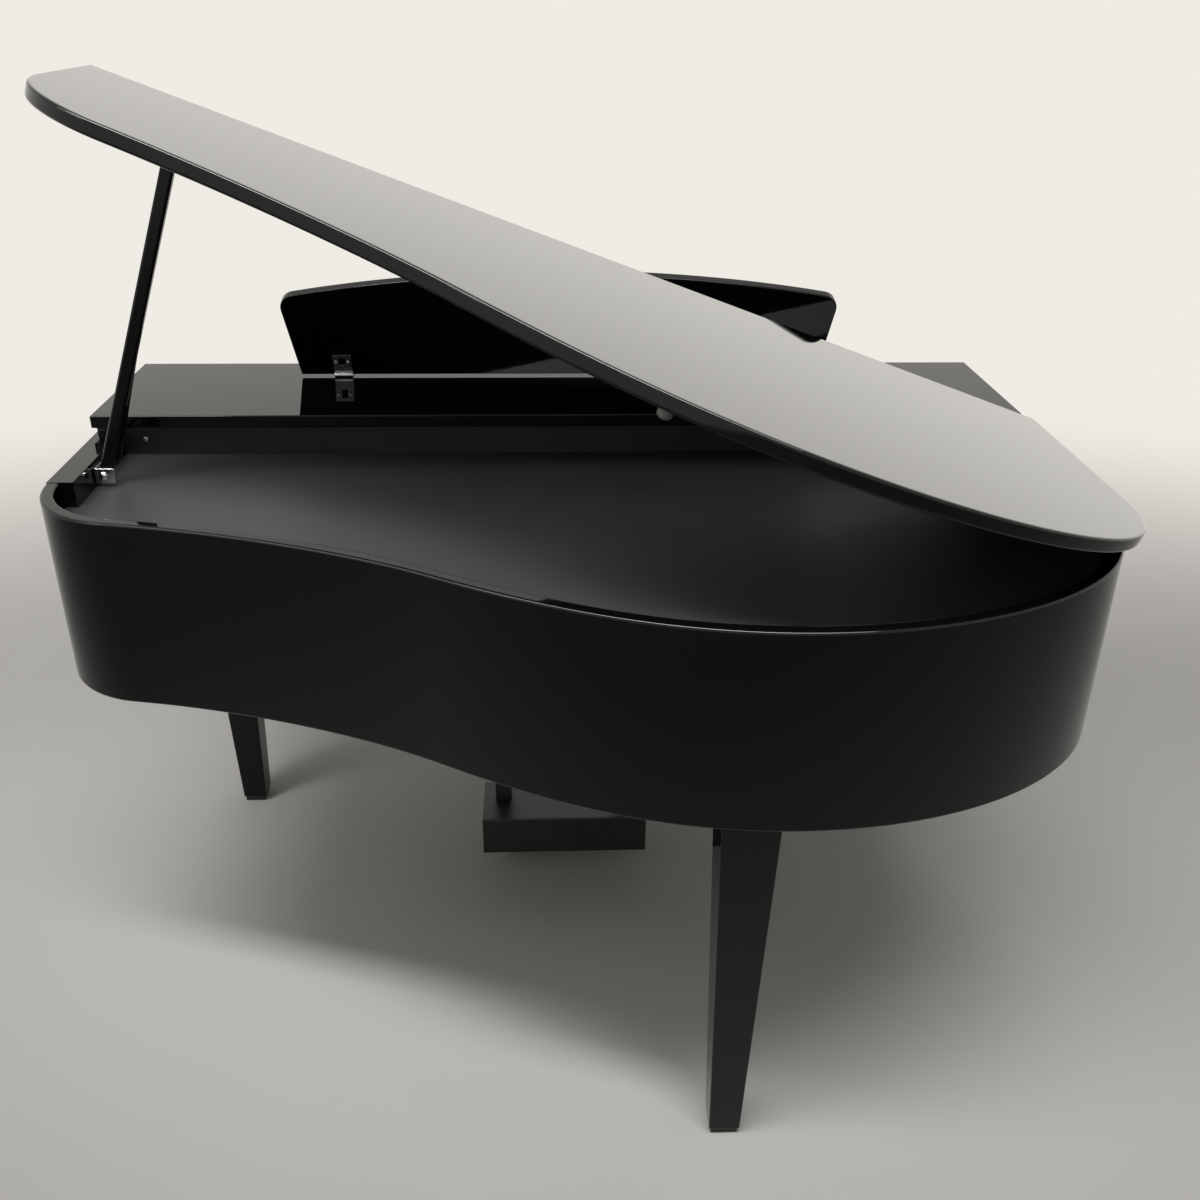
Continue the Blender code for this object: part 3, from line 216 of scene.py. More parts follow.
# Three square tapered legs of fibreboard, sprayed with black polyester and polished. Each is screwed to
# the bottom of the case and stands on a moulded rubber foot.
BLACK = (0.002, 0.002, 0.0025)
DUST = (0.024, 0.024, 0.024)
DUST_SCALE = 900.0
DUST_SHARE = (0.72, 0.80)
POLISH_IOR = 1.36


def dress(made, *names):
    """The frame's own pieces, given their finish."""
    for name in names:
        for holder in frame["nodes"][name].material_slots:
            holder.material = made


def dusty_black(made):
    """Deep black with the few grains of dust that a polished board collects."""
    grains = spread(made, pattern(made, DUST_SCALE, 1.0), 0.0, 1.0, *DUST_SHARE)
    return two_tones(made, grains, BLACK, DUST)


def set_value(made, socket, value):
    made.node_tree.nodes["Principled BSDF"].inputs[socket].default_value = value


polyester = new_material("black_polyester", BLACK, 0.05)
set_value(polyester, "IOR", POLISH_IOR)
smudges = pattern(polyester, 7.0, 4.0)
drive(polyester, "Roughness", spread(polyester, smudges, 0.015, 0.05))
drive(polyester, "Base Color", dusty_black(polyester))
relief(polyester, pattern(polyester, 110.0, 1.0), 0.000012)

foot_rubber = new_material("black_rubber", (0.016, 0.016, 0.016), 0.75)
drive(foot_rubber, "Roughness", spread(foot_rubber, pattern(foot_rubber, 120.0), 0.62, 0.88))
relief(foot_rubber, pattern(foot_rubber, 900.0), 0.00006)

dress(polyester, "leg_bass", "leg_treble", "leg_tail")
dress(foot_rubber, "foot_bass", "foot_treble", "foot_tail")

# The bottom board and the loudspeakers that fire down through it. The board is painted satin black; each
# loudspeaker has a steel basket, a rubber surround, a paper cone and a dust cap.
SPEAKER_PLACES = {"bass": (-0.330, 0.060), "treble": (0.330, 0.060)}
SPEAKER_STEPS = 64
BASKET_PROFILE = ((0.0, 0.075), (0.044, 0.075), (0.045, 0.074), (0.045, 0.0525), (0.036, 0.0495))
FLANGE_PROFILE = ((0.072, 0.006), (0.079, 0.006), (0.080, 0.005), (0.080, 0.0), (0.063, 0.0))
SURROUND_RADIUS = 0.0030
CONE_PROFILE = ((0.0570, 0.0045), (0.0500, 0.0085), (0.0400, 0.0150), (0.0300, 0.0225), (0.0215, 0.0290))
CAP_HEIGHT = 0.0060
SHARP_ANGLE = 35.0


def keep(name, mesh):
    """A new object, its mesh already in the instrument's own place."""
    piece = bpy.data.objects.new(name, mesh)
    bpy.context.scene.collection.objects.link(piece)
    return piece


def lathe(name, profile, steps, to_place, materials=(), bands=()):
    """A profile of radius and height turned about Z; bands are the first profile points of each material."""
    shape = bmesh.new()
    points = [shape.verts.new((radius, 0.0, height)) for radius, height in profile]
    edges = [shape.edges.new(pair) for pair in zip(points, points[1:])]
    bmesh.ops.spin(
        shape, geom=points + edges, axis=(0, 0, 1), cent=(0, 0, 0), angle=2 * math.pi, steps=steps,
        use_merge=True,
    )
    bmesh.ops.remove_doubles(shape, verts=shape.verts, dist=0.000005)
    bmesh.ops.recalc_face_normals(shape, faces=shape.faces)
    heights = [height for _, height in profile]
    for face in shape.faces:
        face.smooth = True
        radius = face.calc_center_median().xy.length
        height = face.calc_center_median().z
        nearest = min(
            range(len(profile) - 1),
            key=lambda place: abs((profile[place][0] + profile[place + 1][0]) / 2 - radius)
            + abs((heights[place] + heights[place + 1]) / 2 - height),
        )
        face.material_index = sum(nearest >= band for band in bands)
    mesh = bpy.data.meshes.new(name)
    shape.to_mesh(mesh)
    shape.free()
    mesh.set_sharp_from_angle(angle=math.radians(SHARP_ANGLE))
    mesh.transform(to_place)
    for made in materials:
        mesh.materials.append(made)
    return keep(name, mesh)


def satin(name, tone, roughness):
    """Sprayed satin paint on board: faint cloudiness and the fine tooth of the spray."""
    made = new_material(name, (tone, tone, tone), roughness)
    clouds = pattern(made, 6.0, 5.0)
    drive(made, "Base Color", two_tones(made, spread(made, clouds, 0.0, 1.0), (tone,) * 3, (tone * 1.5,) * 3))
    drive(made, "Roughness", spread(made, clouds, roughness * 0.85, roughness * 1.15))
    relief(made, pattern(made, 1400.0, 2.0), 0.00003)
    return made


satin_black = satin("satin_black", 0.010, 0.38)
basket_paint = satin("speaker_black", 0.016, 0.45)
surround_rubber = new_material("surround_rubber", (0.010, 0.010, 0.010), 0.5)
drive(surround_rubber, "Roughness", spread(surround_rubber, pattern(surround_rubber, 200.0), 0.42, 0.62))
cone_paper = new_material("cone_paper", (0.020, 0.020, 0.021), 0.9)
fibres = pattern(cone_paper, 260.0, 5.0, (1.0, 1.0, 4.0))
drive(cone_paper, "Base Color", two_tones(cone_paper, fibres, (0.012, 0.012, 0.013), (0.040, 0.040, 0.042)))
relief(cone_paper, fibres, 0.0002)

half_roll = [
    (
        CONE_PROFILE[0][0] + SURROUND_RADIUS - SURROUND_RADIUS * math.cos(math.radians(turn)),
        CONE_PROFILE[0][1] - SURROUND_RADIUS * math.sin(math.radians(turn)),
    )
    for turn in range(180, 0, -20)
]
cap_radius, cap_base = CONE_PROFILE[-1]
cap = [
    (cap_radius * math.sin(math.radians(turn)), cap_base - CAP_HEIGHT * math.cos(math.radians(turn)))
    for turn in range(80, -1, -10)
]
speaker_profile = list(BASKET_PROFILE + FLANGE_PROFILE) + half_roll + list(CONE_PROFILE) + cap
flange_end = len(BASKET_PROFILE + FLANGE_PROFILE) - 1
roll_end = flange_end + len(half_roll)
cone_end = roll_end + len(CONE_PROFILE)
for side, (x, y) in SPEAKER_PLACES.items():
    speaker = lathe(
        "loudspeaker_" + side, speaker_profile, SPEAKER_STEPS,
        Matrix.Translation((x, y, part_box("speaker_" + side)[0].z)),
        (basket_paint, surround_rubber, cone_paper, basket_paint), (flange_end, roll_end, cone_end),
    )
    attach(speaker, "case")
    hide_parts("speaker_" + side)
dress(satin_black, "bottom_board")

# The power inlet, a black moulded housing screwed under the bottom board with a socket in its back. Three
# flat steel blades stand in the socket.
BLADE = (0.0020, 0.0120, 0.0045)
BLADE_EDGE = 0.0004
BLADE_OFFSETS = ((-0.0070, 0.0015), (0.0, -0.0030), (0.0070, 0.0015))
SOCKET_FLOOR = 0.0160


def block(shape, low, high):
    """An upright box between two corners, added to a shape; it gives the box's points."""
    low = Vector(low)
    high = Vector(high)
    made = bmesh.ops.create_cube(shape, size=1.0)["verts"]
    bmesh.ops.scale(shape, vec=high - low, verts=made)
    bmesh.ops.translate(shape, vec=(low + high) / 2, verts=made)
    return made


def finish_shape(name, shape, made):
    """A shape made into an object with one material."""
    mesh = bpy.data.meshes.new(name)
    shape.to_mesh(mesh)
    shape.free()
    mesh.materials.append(made)
    return keep(name, mesh)


def soften(piece, width, segments=3, angle=SHARP_ANGLE):
    """Rounded edges that leave the flat faces truly flat in their gloss."""
    piece.data.shade_smooth()
    bevel = piece.modifiers.new("soft_edges", "BEVEL")
    bevel.width = width
    bevel.segments = segments
    bevel.limit_method = "ANGLE"
    bevel.angle_limit = math.radians(angle)
    flat = piece.modifiers.new("flat_faces", "WEIGHTED_NORMAL")
    flat.weight = 100
    return piece


moulded_plastic = new_material("black_plastic", (0.016, 0.016, 0.017), 0.5)
drive(moulded_plastic, "Roughness", spread(moulded_plastic, pattern(moulded_plastic, 60.0), 0.42, 0.58))
relief(moulded_plastic, pattern(moulded_plastic, 2600.0, 1.0), 0.00002)
bright_steel = new_material("brushed_steel", (0.56, 0.57, 0.58), 0.28, 1.0)
brushing = pattern(bright_steel, 60.0, 4.0, (30.0, 1.0, 30.0))
drive(bright_steel, "Roughness", spread(bright_steel, brushing, 0.20, 0.42))
drive(bright_steel, "Base Color", two_tones(bright_steel, brushing, (0.48, 0.49, 0.50), (0.62, 0.63, 0.64)))
relief(bright_steel, brushing, 0.00002)

inlet_low, inlet_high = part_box("power_inlet")
socket_middle = (inlet_low + inlet_high) / 2
blade_shape = bmesh.new()
blade_y = inlet_high.y - SOCKET_FLOOR + BLADE[1] / 2
for across, up in BLADE_OFFSETS:
    middle = Vector((socket_middle.x + across, blade_y, socket_middle.z + up))
    block(blade_shape, middle - Vector(BLADE) / 2, middle + Vector(BLADE) / 2)
blades = finish_shape("inlet_blades", blade_shape, bright_steel)
soften(blades, BLADE_EDGE, 2)
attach(blades, "case")
dress(moulded_plastic, "power_inlet")

# The pedal box, a satin black box hung on two posts, and its three cast brass pedals. Each pedal is a
# flat bar that widens into a rounded tip, polished, and turns on a hub inside the box.
PEDAL_PLACES = {"soft": -0.066, "sostenuto": 0.0, "damper": 0.066}
PEDAL_STEM_HALF = 0.007
PEDAL_TIP_HALF = 0.012
PEDAL_WIDEN = 0.02125
PEDAL_WIDE = 0.0425
PEDAL_HALF = 0.0040
PEDAL_EDGE = 0.0030
PEDAL_TIP_STEPS = 16


def prism(name, outline, low, high, made, plane="XY"):
    """A flat outline in one plane, given thickness from low to high across it."""
    turn = {
        "XY": lambda a, b, c: (a, b, c),
        "XZ": lambda a, b, c: (a, c, b),
        "YZ": lambda a, b, c: (c, a, b),
    }[plane]
    shape = bmesh.new()
    add_prism(shape, outline, low, high, turn)
    return finish_shape(name, shape, made)


def add_prism(shape, outline, low, high, turn=lambda a, b, c: (a, b, c)):
    """One closed prism added to a shape."""
    under = [shape.verts.new(turn(a, b, low)) for a, b in outline]
    over = [shape.verts.new(turn(a, b, high)) for a, b in outline]
    faces = [shape.faces.new(under[::-1]), shape.faces.new(over)]
    for place in range(len(outline)):
        after = (place + 1) % len(outline)
        faces.append(shape.faces.new((under[place], under[after], over[after], over[place])))
    bmesh.ops.recalc_face_normals(shape, faces=faces)


def arc(centre, radius, start, end, steps):
    """Points on a circular arc, angles in degrees, both ends included."""
    turns = [math.radians(start + (end - start) * step / steps) for step in range(steps + 1)]
    return [(centre[0] + radius * math.cos(turn), centre[1] + radius * math.sin(turn)) for turn in turns]


brass = new_material("polished_brass", (0.72, 0.50, 0.19), 0.2, 1.0)
tarnish = pattern(brass, 90.0, 5.0)
tarnish_share = spread(brass, tarnish, 0.0, 1.0)
drive(brass, "Base Color", two_tones(brass, tarnish_share, (0.74, 0.53, 0.21), (0.62, 0.42, 0.15)))
drive(brass, "Roughness", spread(brass, tarnish, 0.14, 0.30))
relief(brass, pattern(brass, 700.0, 2.0), 0.00001)

for side, x in PEDAL_PLACES.items():
    low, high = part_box("pedal_" + side)
    hub = (high.z - low.z) / 2
    axis_y = high.y - hub
    front = low.y + PEDAL_TIP_HALF
    box_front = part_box("pedal_box")[0].y
    outline = [(x - PEDAL_STEM_HALF, axis_y), (x - PEDAL_STEM_HALF, box_front - PEDAL_WIDEN)]
    outline += [(x - PEDAL_TIP_HALF, box_front - PEDAL_WIDE)]
    outline += arc((x, front), PEDAL_TIP_HALF, 180, 360, PEDAL_TIP_STEPS)
    outline += [(x + PEDAL_TIP_HALF, box_front - PEDAL_WIDE)]
    outline += [(x + PEDAL_STEM_HALF, box_front - PEDAL_WIDEN), (x + PEDAL_STEM_HALF, axis_y)]
    middle_z = (low.z + high.z) / 2
    pedal = prism("brass_pedal_" + side, outline, middle_z - PEDAL_HALF, middle_z + PEDAL_HALF, brass)
    soften(pedal, PEDAL_EDGE, 4, 50.0)
    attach(pedal, side + "_body")
    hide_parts("pedal_" + side)
dress(satin_black, "pedal_box", "pedal_post_bass", "pedal_post_treble")

# The rim, bent from layers of board into the treble corner, the bent side and the tail, and the two
# thick arms beside the keyboard. All are sprayed with black polyester and polished to a mirror.
CORNER_RADIUS = 0.145
CORNER_TURN = 80.0
INFLECTION = (0.165, 0.4005)
INFLECTION_HEADING = 147.8
BENT_PULLS = (0.160, 0.120, 0.170, 0.160)
TAIL_PEAK_X = -0.270
TAIL_ROUND_DEPTH = 0.301
CURVE_STEPS = 28
TAIL_STEPS = 44
RIM_THICK = 0.0185
ARM_FRONT_ROUND = 0.095
ARM_FOOT_ROUND = 0.012
ARM_FRONT_STEPS = 24
ARM_FOOT_STEPS = 10
GLOSS_EDGE = 0.0018
RIM_EDGE = 0.0040
GROOVE_SLOPE = math.radians(6)
GROOVE_UNDER_PANEL = 0.021
GROOVE_SETBACK = 0.004
GROOVE_REACH = (-0.1655, 0.0385)
GROOVE_HEIGHT = (-0.0085, 0.0005)
GROOVE_DEPTH = 0.0065


def bezier(start, start_heading, start_pull, end, end_heading, end_pull):
    """Points and outward normals along one cubic curve, its start left out; headings in degrees."""
    first = Vector(start)
    last = Vector(end)
    leave = math.radians(start_heading)
    arrive = math.radians(end_heading)
    second = first + Vector((math.cos(leave), math.sin(leave))) * start_pull
    third = last - Vector((math.cos(arrive), math.sin(arrive))) * end_pull
    trail = []
    for step in range(1, CURVE_STEPS + 1):
        t = step / CURVE_STEPS
        u = 1 - t
        point = first * u**3 + second * 3 * u * u * t + third * 3 * u * t * t + last * t**3
        along = (second - first) * u * u + (third - second) * 2 * u * t + (last - third) * t * t
        along.normalize()
        trail.append((point, Vector((along.y, -along.x))))
    return trail


def curved_side():
    """Points and outward normals from the treble corner round the tail to the bass side."""
    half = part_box("treble_arm")[1].x
    arm_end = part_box("treble_arm")[1].y
    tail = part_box("rim")[1].y
    corner = Vector((half - CORNER_RADIUS, arm_end))
    trail = []
    for step in range(CURVE_STEPS):
        angle = math.radians(CORNER_TURN * (step + 1) / CURVE_STEPS)
        normal = Vector((math.cos(angle), math.sin(angle)))
        trail.append((corner + normal * CORNER_RADIUS, normal))
    leave, arrive, leave_again, arrive_again = BENT_PULLS
    corner_heading = CORNER_TURN + 90.0
    trail += bezier(trail[-1][0], corner_heading, leave, INFLECTION, INFLECTION_HEADING, arrive)
    peak = (TAIL_PEAK_X, tail)
    trail += bezier(INFLECTION, INFLECTION_HEADING, leave_again, peak, 180.0, arrive_again)
    run = half + TAIL_PEAK_X
    centre = Vector((TAIL_PEAK_X, tail - TAIL_ROUND_DEPTH))
    for step in range(TAIL_STEPS):
        angle = math.pi / 2 * (1 + (step + 1) / TAIL_STEPS)
        across, along = math.cos(angle), math.sin(angle)
        normal = Vector((across / run, along / TAIL_ROUND_DEPTH)).normalized()
        trail.append((centre + Vector((across * run, along * TAIL_ROUND_DEPTH)), normal))
    return trail


def case_line(offset, front, bass_extra=0.0):
    """The case's line from the treble side round the tail to the bass side, moved outward."""
    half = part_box("treble_arm")[1].x
    middle = [
        tuple(point + normal * (offset + bass_extra * max(0.0, -normal.x))) for point, normal in curved_side()
    ]
    return [(half + offset, front)] + middle + [(-half - offset - bass_extra, front)]


def cut(piece, cutter):
    """Takes the cutter's shape out of the piece for good."""
    taken = piece.modifiers.new("taken_out", "BOOLEAN")
    taken.operation = "DIFFERENCE"
    taken.object = cutter
    bpy.context.view_layer.update()
    shown = piece.evaluated_get(bpy.context.evaluated_depsgraph_get())
    mesh = bpy.data.meshes.new_from_object(shown)
    piece.modifiers.clear()
    piece.data = mesh
    bpy.data.objects.remove(cutter)


rim_low, rim_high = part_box("rim")
rim_front = rim_low.y
outline = case_line(0.0, rim_front) + case_line(-RIM_THICK, rim_front)[::-1]
rim = prism("polished_rim", outline, rim_low.z, rim_high.z, polyester)
soften(rim, RIM_EDGE, 5)
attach(rim, "case")
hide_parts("rim")

panel_low, panel_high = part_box("top_panel")
for side, out in (("treble", 1.0), ("bass", -1.0)):
    low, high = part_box(side + "_arm")
    round_centre = (low.y + ARM_FRONT_ROUND, high.z - ARM_FRONT_ROUND)
    foot_centre = (low.y + ARM_FOOT_ROUND, low.z + ARM_FOOT_ROUND)
    outline = [(high.y, low.z), (high.y, high.z)]
    outline += arc(round_centre, ARM_FRONT_ROUND, 90, 180, ARM_FRONT_STEPS)
    outline += arc(foot_centre, ARM_FOOT_ROUND, 180, 270, ARM_FOOT_STEPS)
    arm = prism("polished_arm_" + side, outline, low.x, high.x, polyester, "YZ")
    inner = low.x if out > 0 else high.x
    groove = bmesh.new()
    ends = sorted((inner - out * GROOVE_DEPTH, inner + out * GROOVE_DEPTH))
    block(groove, (ends[0], GROOVE_REACH[0], GROOVE_HEIGHT[0]), (ends[1], GROOVE_REACH[1], GROOVE_HEIGHT[1]))
    cutter = finish_shape("groove_" + side, groove, polyester)
    groove_place = Vector((0.0, panel_low.y + GROOVE_SETBACK, panel_low.z - GROOVE_UNDER_PANEL))
    cutter.data.transform(Matrix.Translation(groove_place) @ Matrix.Rotation(GROOVE_SLOPE, 4, "X"))
    cut(arm, cutter)
    soften(arm, GLOSS_EDGE)
    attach(arm, "case")
    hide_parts(side + "_arm")

# The boards inside the case: a matt charcoal deck under the lid, and the matt black partition that
# carries the top panel. A zinc-plated screw holds the partition at each end.
SCREW_HEAD_RADIUS = 0.0042
SCREW_HEAD_RISE = 0.0016
SCREW_STEPS = 20
CROSS_HALF_WIDTH = 0.00055
CROSS_HALF_LENGTH = 0.0022
CROSS_DEPTH = 0.0011
PARTITION_SCREWS = ((-0.6395, 0.846), (0.6395, 0.846))


def screws(name, places, facing, radius, made):
    """Low domed screw heads with a cross recess, all facing one way, as one piece."""
    rise = SCREW_HEAD_RISE * radius / SCREW_HEAD_RADIUS
    shrink = radius / SCREW_HEAD_RADIUS
    dome = [
        (radius * math.sin(math.radians(turn)), rise * math.cos(math.radians(turn)))
        for turn in range(0, 91, 15)
    ]
    dome += [(radius, -rise), (0.0, -rise)]
    head = lathe(name + "_head", dome, SCREW_STEPS, Matrix.Identity(4), (made,))
    cross = bmesh.new()
    arm = CROSS_HALF_LENGTH * shrink
    slot_half = CROSS_HALF_WIDTH * shrink
    block(cross, (-arm, -slot_half, rise - CROSS_DEPTH * shrink), (arm, slot_half, 2 * rise))
    cut(head, finish_shape("cross", cross, made))
    cross = bmesh.new()
    block(cross, (-slot_half, -arm, rise - CROSS_DEPTH * shrink), (slot_half, arm, 2 * rise))
    cut(head, finish_shape("cross", cross, made))
    shape = bmesh.new()
    turn = Vector(facing).to_track_quat("Z", "Y").to_matrix().to_4x4()
    for place in places:
        before = len(shape.verts)
        shape.from_mesh(head.data)
        shape.verts.ensure_lookup_table()
        bmesh.ops.transform(shape, matrix=Matrix.Translation(place) @ turn, verts=shape.verts[before:])
    bpy.data.objects.remove(head)
    piece = finish_shape(name, shape, made)
    piece.data.set_sharp_from_angle(angle=math.radians(SHARP_ANGLE))
    return piece


deck_paint = new_material("charcoal_deck", (0.030, 0.032, 0.032), 0.5)
deck_clouds = pattern(deck_paint, 5.0, 6.0)
deck_speckle = pattern(deck_paint, 1500.0, 2.0)
deck_tones = two_tones(deck_paint, deck_speckle, (0.014, 0.015, 0.017), (0.032, 0.033, 0.036))
drive(deck_paint, "Base Color", deck_tones)
drive(deck_paint, "Roughness", spread(deck_paint, deck_clouds, 0.44, 0.54))
relief(deck_paint, deck_speckle, 0.00008)
board_paint = satin("matte_black_board", 0.009, 0.5)

partition_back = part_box("partition")[1].y
zinc = new_material("zinc_screw", (0.42, 0.42, 0.43), 0.3, 1.0)
drive(zinc, "Roughness", spread(zinc, pattern(zinc, 900.0), 0.22, 0.42))
spots = [(x, partition_back, z) for x, z in PARTITION_SCREWS]
partition_screws = screws("partition_screws", spots, (0, 1, 0), SCREW_HEAD_RADIUS, zinc)
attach(partition_screws, "case")
dress(deck_paint, "deck")
dress(board_paint, "partition")

# The top panel over the keyboard, the key slip in front of it and the cheek blocks at its ends: thick
# boards with the same polished polyester as the rim, their edges eased by hand before spraying.


def polished_board(node):
    """A square board in the place of its node, its edges eased and polished."""
    shape = bmesh.new()
    block(shape, *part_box(node))
    board = soften(finish_shape("polished_" + node, shape, polyester), GLOSS_EDGE)
    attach(board, "case")
    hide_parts(node)


for node in ("top_panel", "key_slip", "cheek_treble", "cheek_bass"):
    polished_board(node)

# The keyboard: 52 white keys moulded in ivory-white plastic with a satin top, and 36 tapered satin black
# keys. Each key is its own moulding on the chassis, and an octave of them moves as one here.
WHITE_COUNT = 52
WHITE_PITCH = 0.0235
WHITE_GAP = 0.0010
WHITE_HEAD = 0.050
WHITE_ROUND = 0.0007
BLACK_SLOT = 0.0115
BLACK_SHIFT = {"A": 0.0021, "C": -0.0014, "D": 0.0014, "F": -0.0021, "G": 0.0}
BLACK_HALF_FOOT = 0.0050
BLACK_HALF_TOP = 0.0040
BLACK_LENGTH = 0.110
BLACK_TAIL_THICK = 0.010
BLACK_FRONT_SLOPE = 0.0050
BLACK_ROUND = 0.0012
KEYS_HALF = WHITE_COUNT * WHITE_PITCH / 2


def black_after(white):
    """Middle of the black key to the right of a white key, or None; key 0 is the lowest A."""
    note = "ABCDEFG"[white % 7]
    if note not in BLACK_SHIFT or not 0 <= white < WHITE_COUNT - 1:
        return None
    return (white + 1) * WHITE_PITCH - KEYS_HALF + BLACK_SHIFT[note]


def white_key(shape, white, low, high):
    """One white key: a wide head and a tail narrowed beside the black keys."""
    left = white * WHITE_PITCH - KEYS_HALF + WHITE_GAP / 2
    right = left + WHITE_PITCH - WHITE_GAP
    below, above = black_after(white - 1), black_after(white)
    tail_left = left if below is None else below + BLACK_SLOT / 2
    tail_right = right if above is None else above - BLACK_SLOT / 2
    shoulder = low.y + WHITE_HEAD
    outline = [(left, low.y), (right, low.y)]
    if above is not None:
        outline += [(right, shoulder), (tail_right, shoulder)]
    outline += [(tail_right, high.y), (tail_left, high.y)]
    if below is not None:
        outline += [(tail_left, shoulder), (left, shoulder)]
    add_prism(shape, outline, low.z, high.z)


def black_key(shape, middle, low, high):
    """One black key: its sides lean in, its front slopes back, and a thin tail runs on under cover."""
    left, right = middle - BLACK_HALF_FOOT, middle + BLACK_HALF_FOOT
    top_end = low.y + BLACK_LENGTH
    for point in block(shape, (left, low.y, low.z), (right, top_end, high.z)):
        if point.co.z > (low.z + high.z) / 2:
            point.co.x = middle + math.copysign(BLACK_HALF_TOP, point.co.x - middle)
            if point.co.y < (low.y + top_end) / 2:
                point.co.y += BLACK_FRONT_SLOPE
    block(shape, (left, top_end, low.z), (right, high.y, low.z + BLACK_TAIL_THICK))


ivory = new_material("white_key", (0.78, 0.765, 0.72), 0.25)
mottling = pattern(ivory, 30.0, 4.0)
drive(ivory, "Base Color", two_tones(ivory, mottling, (0.79, 0.775, 0.73), (0.75, 0.73, 0.68)))
drive(ivory, "Roughness", spread(ivory, mottling, 0.20, 0.32))
relief(ivory, pattern(ivory, 1800.0, 1.0, (1.0, 0.15, 1.0)), 0.00001)
set_value(ivory, "Subsurface Weight", 0.05)
ebony = satin("black_key", 0.012, 0.32)

octave_starts = [0] + list(range(9, WHITE_COUNT - 1, 7))
octave_ends = octave_starts[1:] + [WHITE_COUNT]
for octave, (start, end) in enumerate(zip(octave_starts, octave_ends), start=1):
    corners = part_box("white_keys_octave_%d" % octave)
    shape = bmesh.new()
    for white in range(start, end):
        white_key(shape, white, *corners)
    keys = soften(finish_shape("white_keys_%d" % octave, shape, ivory), WHITE_ROUND, 2)
    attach(keys, "white_%d_body" % octave)
    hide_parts("white_keys_octave_%d" % octave)

    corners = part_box("black_keys_octave_%d" % octave)
    shape = bmesh.new()
    for middle in filter(None, map(black_after, range(start, end))):
        black_key(shape, middle, *corners)
    keys = soften(finish_shape("black_keys_%d" % octave, shape, ebony), BLACK_ROUND, 3)
    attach(keys, "black_%d_body" % octave)
    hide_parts("black_keys_octave_%d" % octave)
dress(moulded_plastic, "key_chassis")

# The controls on the bass cheek: a moulded plate that carries a fluted volume knob, with a white pointer
# let into its top, and a dished power button that sinks into the plate.
KNOB_FLUTES = 24
KNOB_FLUTE_DEPTH = 0.00035
KNOB_STEPS = 6
KNOB_ROUND = 0.0003
POINTER = (0.0009, 0.0052, 0.0003)
POINTER_SUNK = 0.0001
POINTER_FROM_EDGE = 0.0012
BUTTON_STEPS = 40
BUTTON_ROUND = 0.0007
BUTTON_DISH = 0.0005

low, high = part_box("volume_knob")
knob_middle = (low + high) / 2
knob_radius = (high.x - low.x) / 2
turns = [2 * math.pi * step / (KNOB_FLUTES * KNOB_STEPS) for step in range(KNOB_FLUTES * KNOB_STEPS)]
reaches = [knob_radius - KNOB_FLUTE_DEPTH * (1 - math.cos(turn * KNOB_FLUTES)) for turn in turns]
fluted = [
    (knob_middle.x + math.cos(turn) * reach, knob_middle.y + math.sin(turn) * reach)
    for turn, reach in zip(turns, reaches)
]
knob = prism("fluted_volume_knob", fluted, low.z, high.z, moulded_plastic)
pointer_end = knob_middle.y + knob_radius - POINTER_FROM_EDGE
pointer_corners = (
    (knob_middle.x - POINTER[0] / 2, pointer_end - POINTER[1], high.z - POINTER[2]),
    (knob_middle.x + POINTER[0] / 2, pointer_end, high.z + POINTER[2]),
)
slot_shape = bmesh.new()
block(slot_shape, *pointer_corners)
cut(knob, finish_shape("pointer_slot", slot_shape, moulded_plastic))
soften(knob, KNOB_ROUND, 2, 50.0)
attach(knob, "volume_body")
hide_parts("volume_knob")

pointer_paint = new_material("pointer_white", (0.72, 0.72, 0.70), 0.5)
pointer_grain = pattern(pointer_paint, 900.0)
drive(pointer_paint, "Roughness", spread(pointer_paint, pointer_grain, 0.42, 0.6))
relief(pointer_paint, pointer_grain, 0.00002)
pointer_shape = bmesh.new()
block(pointer_shape, pointer_corners[0], (pointer_corners[1][0], pointer_end, high.z - POINTER_SUNK))
pointer = finish_shape("volume_pointer", pointer_shape, pointer_paint)
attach(pointer, "volume_body")

low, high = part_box("power_button")
button_radius = (high.x - low.x) / 2
button_height = high.z - low.z
button_middle = (low + high) / 2
dish = button_radius - BUTTON_ROUND
button_profile = [(0.0, 0.0), (button_radius, 0.0)]
button_profile += arc((dish, button_height - BUTTON_ROUND), BUTTON_ROUND, 0, 90, 5)
button_profile += [
    (dish * share, button_height - BUTTON_DISH * (1 - share * share)) for share in (0.8, 0.6, 0.4, 0.2, 0.0)
]
button = lathe(
    "dished_power_button", button_profile, BUTTON_STEPS,
    Matrix.Translation((button_middle.x, button_middle.y, low.z)), (moulded_plastic,),
)
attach(button, "power_body")
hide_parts("power_button")
dress(moulded_plastic, "control_panel")

# The sliding key cover: a thin polished board with a deep apron glued along its front edge. Runners at
# its two ends slide in the grooves of the arms, and it is pushed back under the top panel here.
COVER_SLOPE = math.radians(6)
COVER_SETBACK = 0.004
COVER_UNDER_PANEL = 0.021
COVER_LENGTH = 0.185
COVER_THICK = 0.008
APRON_THICK = 0.012
APRON_DROP = 0.085
COVER_SIDE_GAP = 0.0015
RUNNER_LENGTH = 0.038
COVER_EDGE = 0.0010
SEAT_GAP = 0.0003

